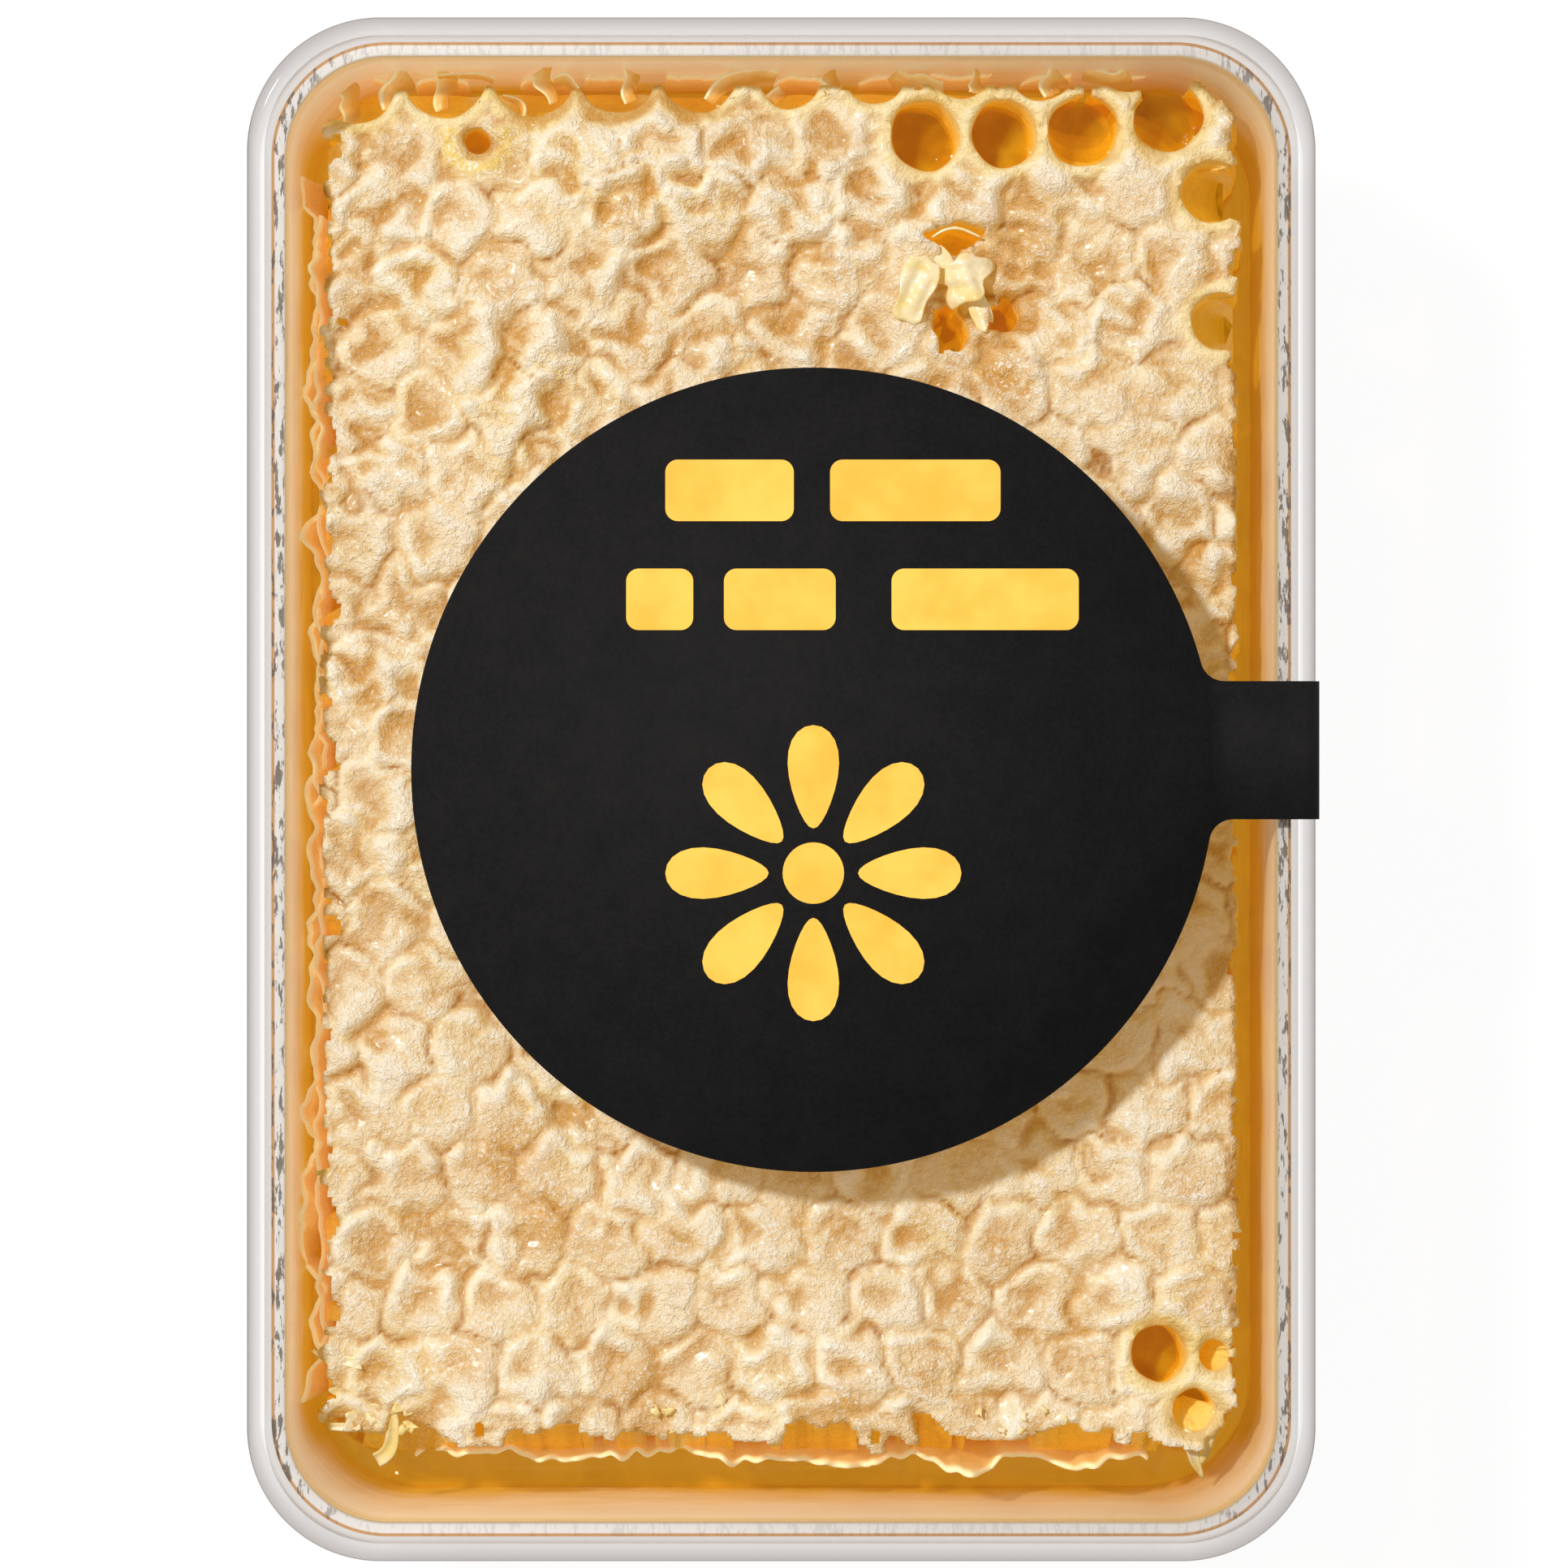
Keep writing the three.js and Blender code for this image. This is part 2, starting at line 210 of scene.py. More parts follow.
def srgb(red, green, blue):
    """A colour from its 0 to 255 screen values, as linear light."""
    linear = [((c / 255 + 0.055) / 1.055) ** 2.4 if c > 10 else c / 3295 for c in (red, green, blue)]
    return (*linear, 1)


def clear_plastic(name):
    """Thin clear plastic: see-through face on, greyer and shinier at a glance, and darkened by
    painted shade in a thin line at its edges.
    """
    made, place = bare_material(name)
    look = {"Color": srgb(246, 246, 246), "Roughness": 0.08}
    gloss = place.node("ShaderNodeBsdfAnisotropic", {}, look)
    clear = place.see_through(253, 253, 253)
    greyer = place.see_through(242, 240, 238)
    # A dark tint for the painted shade at the plastic's edges, where the band mark is high
    line = place.see_through(150, 136, 128)
    shine = place.node("ShaderNodeFresnel", {}, {"IOR": PLASTIC_IOR})
    body = place.glance().between(0.55, 0.95).blended(clear, greyer)
    body = place.mark("band").blended(body, line)
    (shine * PLASTIC_SHINE).blended(body, gloss).shown()
    return made


def placed_piece(name, bm, material, replaced=(), sharp=40):
    """Makes a finished bmesh a piece of the object that rides on its one body."""
    mesh = bpy.data.meshes.new(name)
    bm.to_mesh(mesh)
    bm.free()
    mesh.polygons.foreach_set("use_smooth", [True] * len(mesh.polygons))
    mesh.set_sharp_from_angle(angle=math.radians(sharp))
    mesh.materials.append(material)
    made = added(name, mesh)
    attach(made, "root")
    if replaced:
        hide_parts(*replaced)
    return made


def ring_point(step, half_width, half_length, corner):
    """A point of a rounded rectangle, counted in steps round its four corners."""
    angle = 2 * math.pi * (step + 0.5) / RING_STEPS
    x = corner * math.cos(angle) + math.copysign(half_width - corner, math.cos(angle))
    y = corner * math.sin(angle) + math.copysign(half_length - corner, math.sin(angle))
    return x, y


def new_points(made):
    """The points among what an operator has made."""
    return [item for item in made["geom"] if isinstance(item, bmesh.types.BMVert)]


def extended(bm, edges):
    """Grows a strip of faces from a chain of edges. Returns its new points and new chain."""
    made = bmesh.ops.extrude_edge_only(bm, edges=edges)
    fresh = new_points(made)
    known = set(fresh)
    sides = [item for item in made["geom"] if isinstance(item, bmesh.types.BMEdge)]
    return fresh, [edge for edge in sides if known.issuperset(edge.verts)]


def moulded_shell(profile, half_width, half_length, corner, joined=False):
    """Sweeps a profile round a rounded rectangle. Its points are an inset, a height, a band
    value for the material and how much rounder the corners are there. Its ends are filled,
    or joined to each other when the profile is that of a closed hoop."""
    bm = bmesh.new()
    step = bm.verts.layers.int.new("step")
    band = bm.verts.layers.float.new("band")
    ring = bmesh.ops.create_circle(bm, segments=RING_STEPS, radius=half_width)["verts"]
    for i, vert in enumerate(ring):
        vert[step] = i
    first = edges = list(bm.edges)
    for i, (inset, height, shade, rounder) in enumerate(profile):
        if i > 0:
            ring, edges = extended(bm, edges)
        for vert in ring:
            radius = max(corner - inset + rounder, LEAST_CORNER)
            x, y = ring_point(vert[step], half_width - inset, half_length - inset, radius)
            vert.co = (x, y, height)
            vert[band] = shade
    if joined:
        bmesh.ops.bridge_loops(bm, edges=first + edges)
    else:
        bmesh.ops.contextual_create(bm, geom=first)
        bmesh.ops.contextual_create(bm, geom=edges)
    bmesh.ops.recalc_face_normals(bm, faces=bm.faces)
    return bm


def quarter(steps):
    """Angles from 0 to a right angle in equal steps."""
    return [math.pi / 2 * i / steps for i in range(steps + 1)]


def tray_inset(height):
    """How far the tray's leaning outside stands in from its rim at a height."""
    return TRAY_DRAFT * (TRAY_RIM - height)


def foot_profile(floor, radius, wall, steps):
    """The curve from a floor up into the tray's leaning wall."""
    points = []
    for angle in quarter(steps):
        height = floor + radius * (1 - math.cos(angle))
        inset = wall + tray_inset(height) + radius * (1 - math.sin(angle))
        points.append((inset, height, 0, 0))
    return points


INNER_FOOT = TRAY_FOOT - TRAY_WALL
rim_profile = []
for angle in quarter(4):
    height = TRAY_RIM - RIM_ROUND * (1 - math.sin(angle))
    rim_profile.append((RIM_ROUND * (1 - math.cos(angle)), height, RIM_SHADE, 0))
tray_profile = foot_profile(0, TRAY_FOOT, 0, 7) + rim_profile
tray_profile += [(TRAY_WALL - inset, *rest) for inset, *rest in reversed(rim_profile)]
tray_profile += reversed(foot_profile(TRAY_FLOOR, INNER_FOOT, TRAY_WALL, 7))
tray_plastic = clear_plastic("tray_plastic")
tray_shell = moulded_shell(tray_profile, TRAY_HALF_WIDTH, TRAY_HALF_LENGTH, TRAY_CORNER)
placed_piece("tray_shell", tray_shell, tray_plastic, ["tray"])

# Comb: a slab cut with a knife from a frame of comb, two layers of wax cells back to
# back on a midrib, each full of honey and closed by a thin pale cap. The cut has
# opened the cells along the slab's edges. These are the cells' places.
COMB_LEFT = -33 * MM
COMB_RIGHT = 32.8 * MM
COMB_NEAR = -47.7 * MM
COMB_FAR = 51.2 * MM
COMB_CORNER = 3.6 * MM
COMB_TOP = 29 * MM
COMB_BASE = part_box("comb")[0].z
COMB_SPREAD = 1.15 * MM
COMB_UNDERCUT = 1.9 * MM
COMB_FOOT_SHARE = 0.12
CELL_PITCH_FAR = 6.2 * MM
CELL_PITCH_LOSS = 0.03 * MM
ROW_PITCH = 4.72 * MM
ROW_DRIFT = 0.143 * MM
ROW_TILT = 0.038
ROW_COUNT = 21
ANCHOR = (16.14 * MM, 47.7 * MM)
CELL_JITTER = 0.28 * MM


def seeded_draws(state):
    """Endless draws from 0 to 1, the same on every run."""
    mask = 0xFFFFFFFF
    while True:
        state = (state + 0x6D2B79F5) & mask
        mixed = ((state ^ (state >> 15)) * (1 | state)) & mask
        mixed = ((mixed + (((mixed ^ (mixed >> 7)) * (61 | mixed)) & mask)) & mask) ^ mixed
        yield ((mixed ^ (mixed >> 14)) & mask) / 2**32


def lattice_point(row, place):
    """A cell's centre from its row and its place along the row."""
    pitch = CELL_PITCH_FAR - CELL_PITCH_LOSS * row
    x = ANCHOR[0] + place * pitch + ROW_DRIFT * row
    tilt = ROW_TILT * (1 - row / ROW_COUNT)
    return x, ANCHOR[1] - ROW_PITCH * row + tilt * (x - ANCHOR[0])


draws = seeded_draws(7)
cell_number = {}
cell_centres = []
cell_moods = []
for row in range(-3, ROW_COUNT + 4):
    for column in range(-12, 7):
        place = column + (row % 2) / 2
        x, y = lattice_point(row, place)
        x += CELL_JITTER * (2 * next(draws) - 1)
        y += CELL_JITTER * (2 * next(draws) - 1)
        cell_number[row, place] = len(cell_centres)
        cell_centres.append((x, y))
        cell_moods.append([next(draws) for _ in range(3)])
cell_centres = np.array(cell_centres)
cell_moods = np.array(cell_moods)


def ripple(points, wavelength, seed, waves=16):
    """Smooth seeded bumps about one wavelength apart, of unit strength, at flat points."""
    draw = np.random.default_rng(seed)
    turn = draw.uniform(0, 2 * math.pi, waves)
    pace = draw.uniform(0.65, 1.5, waves) * 2 * math.pi / wavelength
    phase = draw.uniform(0, 2 * math.pi, waves)
    along = np.stack([pace * np.cos(turn), pace * np.sin(turn)])
    return np.sin(points @ along + phase).sum(axis=1) / math.sqrt(waves / 2)


cell_tree = KDTree(len(cell_centres))
for number, (x, y) in enumerate(cell_centres):
    cell_tree.insert((x, y, 0), number)
cell_tree.balance()


def nearest_cells(points):
    """For each point, the cell it lies in and its distance from that cell's border."""
    found = [cell_tree.find_n((x, y, 0), 2) for x, y in points.tolist()]
    cell = np.array([near[1] for near, far in found])
    other = np.array([far[1] for near, far in found])
    reach = np.array([(near[2], far[2]) for near, far in found])
    between = np.linalg.norm(cell_centres[cell] - cell_centres[other], axis=1)
    return cell, (reach[:, 1] ** 2 - reach[:, 0] ** 2) / (2 * between)


# Caps: the wax skin over the cells, a dented cushion over each with a raised fold on
# one side, wrinkled, cracked where the cells meet, and broken open over some cells.
# In millimetres: the open cells' bores by row and place, and how far some stand off
# the pattern, which is set to the real comb's first row
OPEN_CELLS = {(0, -1): 2.66, (0, 0): 2.55, (0, 1): 2.66, (0, 2): 2.6, (1, 2.5): 2.4, (3, 2.5): 2.2}
OPEN_CELL_BORE = 2.6 * MM
MOVED_CELLS = {(0, -1): (0.6, 0), (0, 0): (0.15, 0.1), (0, 1): (-0.4, -0.1), (0, 2): (-0.6, 0.6)}
# In millimetres: the round openings' and the soaked caps' middles and radii, and the
# torn gaps' middles, half widths and half lengths, with their turns in radians
NEAR_HOLES = [(27.5, -41.1, 2.15), (31.5, -41.2, 1.15), (30.0, -45.2, 1.6)]
PIN_HOLE = (-22.1, 47.2, 1.0)
TORN_PATCH = (14.9, 36.4, 5.2)
TORN_GAPS = [
    (12.8, 40.3, 2.2, 0.95, 0.1),
    (12.4, 33.5, 1.35, 2.0, 0.1),
    (16.3, 34.5, 1.1, 1.2, -0.3),
]
SOAKED_CAPS = [
    (17.7, 39.0, 3.0),
    (15.6, 30.5, 2.2),
    (-20.2, -26.8, 3.0),
    (-16.6, -31.7, 2.4),
    (-10.5, -44.0, 2.4),
    (4.0, -46.0, 2.4),
    (13.5, -25.0, 2.0),
]
TORN_DEPTH = 1.5 * MM
FAR_CELL_BORE = 2.92 * MM
FAR_CELL_SHIFT = 0.7 * MM
FAR_CELL_BORE_BY_HOLES = 2.35 * MM
FAR_CELLS_END = 27 * MM
CUT_CELL_INSIDE = 1.6 * MM
CUT_CELL_OUTSIDE = 1.7 * MM
FAR_CELL_OUTSIDE = 2.6 * MM
CAP_BEND = 0.34 * MM
WELT_INSET = 0.6 * MM
WELT_WIDTH = 0.55 * MM
CUSHION_EDGE = 0.5 * MM
HOLLOW_SHIFT = 0.75 * MM
HOLLOW_SIZE = 1.15 * MM
STAIN_SHIFT = 0.5 * MM
STAIN_SIZE = 1.0 * MM
SPLIT_WIDTH = 0.16 * MM
# The raised ring by the pin hole: its radius, its width and how far it reaches past it
PIN_WELT = (2.1 * MM, 0.6 * MM, 0.8 * MM)
PIN_WELT_HEIGHT = 0.6 * MM


def metres(*rows):
    """Rows of lengths in millimetres, as metres."""
    return [tuple(value * MM for value in row) for row in rows]


def bell(distance, width):
    """1 at no distance, falling off to little at twice the width."""
    return np.exp(-((distance / width) ** 2))


def hump(off, size):
    """A round hump of unit height over flat offsets from its middle."""
    return np.exp(-np.sum(off**2, axis=1) / (2 * size**2))


def slab_depth(points):
    """How far points lie inside the slab's straight knife cuts, with its corners rounded."""
    middle = np.array([COMB_LEFT + COMB_RIGHT, COMB_NEAR + COMB_FAR]) / 2
    half = np.array([COMB_RIGHT - COMB_LEFT, COMB_FAR - COMB_NEAR]) / 2
    past = np.abs(points - middle) - (half - COMB_CORNER)
    outside = np.linalg.norm(np.maximum(past, 0), axis=1)
    inside = np.minimum(past.max(axis=1), 0)
    return COMB_CORNER - outside - inside


def cell_depth(points, centre, bore, seed):
    """How far points lie outside an open cell's slightly uneven round mouth."""
    off = points - np.array(centre)
    turn = np.arctan2(off[:, 1], off[:, 0])
    uneven = 1 + 0.025 * np.sin(2 * turn + seed) + 0.015 * np.sin(5 * turn + 2.1 * seed)
    return np.linalg.norm(off, axis=1) - bore * uneven


edge_depth = slab_depth(cell_centres)
cut_cells = (edge_depth < CUT_CELL_INSIDE) & (edge_depth > -CUT_CELL_OUTSIDE)
far_cells = (COMB_FAR - cell_centres[:, 1] < CUT_CELL_INSIDE) & (edge_depth > -FAR_CELL_OUTSIDE)
far_cells &= cell_centres[:, 0] < FAR_CELLS_END
far_mouths = [
    (x, y + FAR_CELL_SHIFT, FAR_CELL_BORE) if x < 0 else (x, y, FAR_CELL_BORE_BY_HOLES)
    for x, y in cell_centres[far_cells].tolist()
]
for key, moved in MOVED_CELLS.items():
    cell_centres[cell_number[key]] += metres(moved)[0]
inner_mouths = [
    (*cell_centres[cell_number[key]].tolist(), bore * MM) for key, bore in OPEN_CELLS.items()
] + metres(*NEAR_HOLES)
mouths = far_mouths + inner_mouths
pin_x, pin_y, pin_radius = metres(PIN_HOLE)[0]


def cap_cover(points):
    """Positive where there is cap wax: inside the cuts and clear of every open cell."""
    near_edge = np.clip((COMB_NEAR + 8 * MM - points[:, 1]) / (8 * MM), 0, 1)
    near_edge *= np.clip((30 * MM - points[:, 0]) / (6 * MM), 0.2, 1)
    ragged = (0.12 + 0.3 * near_edge) * ripple(points, 2.6 * MM, 21)
    ragged += 0.1 * ripple(points, 0.9 * MM, 22)
    uneven = 1.0 + 0.8 * ripple(points, 9 * MM, 24) + 0.45 * ripple(points, 4 * MM, 25)
    uneven = np.maximum(near_edge * uneven, 0) * (near_edge > 0.3)
    at_left = np.clip((COMB_LEFT + 5 * MM - points[:, 0]) / (3 * MM), 0, 1)
    at_right = np.clip((points[:, 0] - COMB_RIGHT + 5 * MM) / (3 * MM), 0, 1)
    lobes = np.clip(ripple(points, 5.5 * MM, 26) - 0.1, 0, 1.5) + 0.3 * ripple(points, 1.8 * MM, 27)
    ragged = ragged + at_left * (0.3 - 0.75 * lobes) + at_right * (0.35 - 0.25 * lobes)
    cover = slab_depth(points) + MM * (ragged - 0.05 - uneven)
    for i, (x, y, bore) in enumerate(mouths):
        cover = np.minimum(cover, cell_depth(points, (x, y), bore, i))
    cover = np.minimum(cover, cell_depth(points, (pin_x, pin_y), pin_radius, 3))
    for *gap, turn in TORN_GAPS:
        x, y, across, along = metres(gap)[0]
        off = points - np.array([x, y])
        u = off[:, 0] * math.cos(turn) + off[:, 1] * math.sin(turn)
        v = off[:, 1] * math.cos(turn) - off[:, 0] * math.sin(turn)
        round_gap = (np.hypot(u / across, v / along) - 1) * min(across, along)
        cover = np.minimum(cover, round_gap + 0.09 * MM * ripple(points, 1.5 * MM, 23))
    return cover


def cap_shape(points):
    """The caps' height at flat points, and marks of where they are cracked, soaked and folded."""
    bends = [ripple(points, 4.5 * MM, seed) for seed in (31, 32)]
    bent = points + CAP_BEND * np.stack(bends, axis=1)
    cell, border = nearest_cells(bent)
    rise, dent, crack = cell_moods[cell].T
    off = bent - cell_centres[cell]
    side = math.radians(130) + 2.0 * (dent - 0.5)
    toward = np.stack([np.cos(side), np.sin(side)], axis=1)
    reach = np.linalg.norm(off, axis=1) + 1e-9
    facing = np.sum(off * toward, axis=1) / reach
    lower_left = np.clip(0.25 - (1.3 * points[:, 0] + points[:, 1]) / (110 * MM), 0, 0.6)
    patch = np.clip(0.35 + lower_left + 0.35 * ripple(points, 12 * MM, 41), 0.08, 1.2)
    arc = np.clip(1.5 * facing + 0.1, 0, 1)
    welt = bell(border - WELT_INSET, WELT_WIDTH) * arc * patch * (0.5 + 0.6 * rise)
    welt *= np.clip(0.75 + 0.5 * ripple(points, 3 * MM, 44), 0.1, 1.2)
    cushion = 1 - bell(border, CUSHION_EDGE)
    hollow = hump(off - HOLLOW_SHIFT * toward, HOLLOW_SIZE)
    split = bell(border, SPLIT_WIDTH) * (1 - 0.7 * np.clip(facing + 0.3, 0, 1))
    patchy = np.clip(0.45 + 0.8 * ripple(points, 6 * MM, 33) + (crack - 0.5), 0, 1)
    upper = np.clip(0.75 + points[:, 1] / (90 * MM), 0.5, 1.2)
    lumpy = upper * np.clip(0.9 + 0.5 * ripple(points, 16 * MM, 42), 0.4, 1.6)
    # In millimetres: the broad swell, cushions, folds, hollows, lean, then dents and wrinkles
    height = (
        0.45 * ripple(points, 24 * MM, 34)
        + (0.14 + 0.26 * rise) * cushion
        + 0.6 * welt
        - (0.12 + 0.32 * dent) * hollow
        - 0.04 * np.sum(off * toward, axis=1) / MM
        + 0.17 * lumpy * ripple(bent, 4.2 * MM, 35)
        + 0.15 * lumpy * np.abs(ripple(bent, 2.8 * MM, 37))
        + 0.05 * lumpy * ripple(bent, 1.5 * MM, 36)
        + 0.045 * np.abs(ripple(points, 1.0 * MM, 38, 24))
        - 0.2 * split * patchy
    ) * MM
    pin_off = points - (pin_x, pin_y)
    welt_radius, welt_width, welt_end = PIN_WELT
    pin_welt = bell(np.linalg.norm(pin_off, axis=1) - welt_radius, welt_width)
    pin_welt *= pin_off[:, 1] < welt_end
    height += PIN_WELT_HEIGHT * pin_welt
    *torn_middle, torn_radius = metres(TORN_PATCH)[0]
    torn = 1 - np.sum((points - torn_middle) ** 2, axis=1) / torn_radius**2
    torn = np.clip(torn, 0, 1)
    height -= torn * (TORN_DEPTH + 0.35 * MM * ripple(points, 2 * MM, 39))
    soaked = np.clip(torn * 1.6, 0, 1) * 0.55
    for x, y, radius in metres(*SOAKED_CAPS):
        far = np.linalg.norm(points - np.array([x, y]), axis=1) / radius
        soaked = np.maximum(soaked, np.clip(1.4 - far, 0, 1) * 0.9)
    drips = np.clip(ripple(points, 9 * MM, 40) - 1.2, 0, 1) * 0.4
    stained = np.clip((crack * 7.3 % 1 - 0.72) * 5, 0, 1)
    stain = stained * hump(off + STAIN_SHIFT * toward, STAIN_SIZE)
    marks = {
        "crack": split * patchy,
        "soak": np.clip(soaked + drips, 0, 1),
        "welt": np.clip(welt, 0, 1),
        "flat": np.clip(cushion - 1.5 * welt, 0, 1),
        "stain": stain * np.clip(0.6 + 0.6 * ripple(points, 1.2 * MM, 43), 0, 1),
        "gold": np.clip(pin_welt, 0, 1),
    }
    return height, marks


def slope_of(field, points):
    """The direction and strength in which a field grows at flat points."""
    small = 0.02 * MM
    across = field(points + [small, 0]) - field(points - [small, 0])
    along = field(points + [0, small]) - field(points - [0, small])
    return np.stack([across, along], axis=1) / (2 * small)


def trimmed_sheet(low, high, columns, rows, cover):
    """A flat grid kept where cover is positive, its edge drawn onto cover's zero line."""
    bm = bmesh.new()
    half = Vector(((high[0] - low[0]) / 2, (high[1] - low[1]) / 2, 1))
    place = Matrix.Translation(((high[0] + low[0]) / 2, (high[1] + low[1]) / 2, 0))
    place = place @ Matrix.Diagonal((*half, 1))
    bmesh.ops.create_grid(bm, x_segments=columns, y_segments=rows, size=1, matrix=place)
    points = np.array([vert.co.xy for vert in bm.verts])
    step = 2 * half.x / columns
    gap = cover(points)
    near = np.abs(gap) < 0.74 * step
    slope = slope_of(cover, points[near])
    strength = np.maximum(np.sum(slope**2, axis=1), 0.3)
    points[near] -= slope * (gap[near] / strength)[:, None]
    gap = cover(points)
    for vert, point in zip(bm.verts, points):
        vert.co.xy = point
    least = -0.12 * step
    doomed = [face for face in bm.faces if min(gap[vert.index] for vert in face.verts) < least]
    bmesh.ops.delete(bm, geom=doomed, context="FACES")
    return bm


def hanging_together(items, neighbours):
    """Splits parts of a mesh into groups that hang together through their neighbours."""
    left = set(items)
    groups = []
    while left:
        group = [left.pop()]
        for item in group:
            for other in neighbours(item):
                if other in left:
                    left.discard(other)
                    group.append(other)
        groups.append(group)
    return groups


def drop_scraps(bm, fewest):
    """Deletes every loose patch of fewer faces than the fewest that may stay."""
    for _ in range(2):
        loose = [face for face in bm.faces if sum(edge.is_boundary for edge in face.edges) > 2]
        bmesh.ops.delete(bm, geom=loose, context="FACES")
    patches = hanging_together(
        bm.faces, lambda face: [other for edge in face.edges for other in edge.link_faces])
    scraps = [face for patch in patches if len(patch) < fewest for face in patch]
    bmesh.ops.delete(bm, geom=scraps, context="FACES")


def free_edge(bm):
    """Numbers the points along a sheet's free edge. Returns its edges, points and numbers."""
    number = bm.verts.layers.int.get("number") or bm.verts.layers.int.new("number")
    edges = [edge for edge in bm.edges if edge.is_boundary]
    verts = list({vert for edge in edges for vert in edge.verts})
    for i, vert in enumerate(verts):
        vert[number] = i
    return edges, np.array([vert.co for vert in verts]), number


def drawn_down(bm, edges, number, level_points, wall, share):
    """Extends a free edge to a new level of points, and marks how deep the wall is there."""
    fresh, edges = extended(bm, edges)
    for vert in fresh:
        vert.co = level_points[vert[number]]
        vert[wall] = share
    return edges


CAP_LOW = (-34.2 * MM, -49.2 * MM)
CAP_HIGH = (34.0 * MM, 52.4 * MM)
CAP_COLUMNS = 216
CAP_ROWS = 322
FEWEST_FACES = 400
EDGE_BAND = 0.7 * MM
EDGE_LIFT = 0.22 * MM
EDGE_SINK = 0.12 * MM
WEB_WIDTH = 0.9 * MM
WEB_HEIGHT = 0.1 * MM

caps = trimmed_sheet(CAP_LOW, CAP_HIGH, CAP_COLUMNS, CAP_ROWS, cap_cover)
drop_scraps(caps, FEWEST_FACES)
caps_points = np.array([vert.co.xy for vert in caps.verts])
height, marks = cap_shape(caps_points)
wall_layer = caps.verts.layers.float.new("wall")
edge_gap = np.clip(cap_cover(caps_points) / EDGE_BAND, 0, 1)
rim_lift = EDGE_LIFT * (edge_gap * (1 - edge_gap) * 4) - EDGE_SINK * (1 - edge_gap) ** 2

# Round the open cells the wax is a smooth bare web of thick cell walls
web = np.zeros(len(caps_points))
for x, y, bore in mouths:
    gap = np.linalg.norm(caps_points - (x, y), axis=1) - bore
    web = np.maximum(web, np.clip(1.5 - gap / WEB_WIDTH, 0, 1))
height = height * (1 - 0.85 * web) + web * WEB_HEIGHT
for mark in ("crack", "soak", "flat", "stain"):
    marks[mark] = marks[mark] * (1 - web)
marks["web"] = web


def smoothed(values, ends, rounds):
    """Values at a mesh's points, each averaged with its neighbours' a number of times."""
    count = np.bincount(ends.ravel(), minlength=len(values))
    for _ in range(rounds):
        total = np.bincount(ends[:, 0], values[ends[:, 1]], len(values))
        total += np.bincount(ends[:, 1], values[ends[:, 0]], len(values))
        values = (values + total) / (1 + count)
    return values


# Painted shade and highlight: hollows are painted browner and ridges paler, so each point is
# compared
# with those around it at three widths: by a number of smoothing rounds, with the depth that counts
# as full
caps.verts.index_update()
edge_ends = np.array([[vert.index for vert in edge.verts] for edge in caps.edges])
relief = smoothed(height, edge_ends, 2)
marks["pit"] = 0.4 * np.clip((relief - height) / (0.05 * MM), -1, 1)
for rounds, depth, strength in ((24, 0.14 * MM, 0.4), (110, 0.34 * MM, 0.6)):
    around = smoothed(height, edge_ends, rounds)
    marks["pit"] += strength * np.clip((around - relief) / depth, -1, 1)
for mark, values in marks.items():
    layer = caps.verts.layers.float.new(mark)
    for vert, value in zip(caps.verts, values):
        vert[layer] = value
for i, vert in enumerate(caps.verts):
    vert.co.z = COMB_TOP + height[i] + rim_lift[i]


def side_shape(height):
    """How far the slab's side has spread past its cut, and how far its foot is drawn in."""
    rise = np.clip((height - COMB_BASE) / (COMB_TOP - COMB_BASE), 0, 1)
    foot = np.clip(rise / COMB_FOOT_SHARE, 0, 1)
    return COMB_SPREAD * (1 - rise**2), COMB_UNDERCUT * (1 - foot)


def recess(points, inward, centres, bore):
    """How far in from the cut each point's side wall lies, where the cut opened a cell."""
    deep = np.zeros(len(points))
    for centre in centres:
        off = points - centre
        along = np.sum(off * inward, axis=1)
        room = bore**2 - np.sum(off**2, axis=1)
        hit = room > 0
        deep[hit] = np.maximum(deep[hit], -along[hit] + np.sqrt(along[hit] ** 2 + room[hit]))
    return deep


# Sides: the cut cells' walls, which hang from the caps down to the midrib, and the
# lower layer's walls under it, wet with honey and a little wider than the caps.
SIDE_CELL_BORE = 2.65 * MM
LOWER_SHIFT = np.array([0, 3.2 * MM])
# Heights in millimetres, how far the upper and the lower cells open there, and a push out
SIDE_LEVELS = [
    (27.9, 0.1, 0, -0.05),
    (27.5, 0.45, 0, 0),
    (26.0, 1, 0, 0),
    (22.0, 1, 0, 0),
    (18.0, 1, 0, 0),
    (16.8, 0.95, 0, 0),
    (16.1, 0.6, 0, 0),
    (15.7, 0.1, 0, 0.1),
    (15.2, 0, 0.1, 0.1),
    (14.6, 0, 0.7, 0),
    (13.5, 0, 1, 0),
    (8.0, 0, 1, 0),
    (5.5, 0, 1, 0),
    (4.4, 0, 0.4, 0),
    (1.6, 0, 0, 0),
]
# Heights in millimetres in an open cell, and how far its wall stands in or out there
HOLE_LEVELS = [
    (28.1, 0.14),
    (27.6, 0.1),
    (26.6, 0.0),
    (24.7, -0.08),
    (22.0, -0.1),
    (19.5, -0.1),
    (18.0, 0.0),
    (17.3, 0.6),
]
CELL_LEAN = np.array([-0.19, -0.11])
LEAN_DEPTH = 4 * MM
CUT_DEPTH = 0.7 * MM
SIDE_SWAY = 0.08 * MM
SIDE_WAVE = 5 * MM
# The caps' rolled lip: millimetres out and down, and how much it looks like wall
LIP_LEVELS = [(0.1, 0.3, 0.1), (0, 0.75, 0.35)]


def unit_ways(field, points):
    """The direction in which a field grows at flat points, of unit length."""
    slope = slope_of(field, points)
    return slope / np.maximum(np.linalg.norm(slope, axis=1), 1e-6)[:, None]


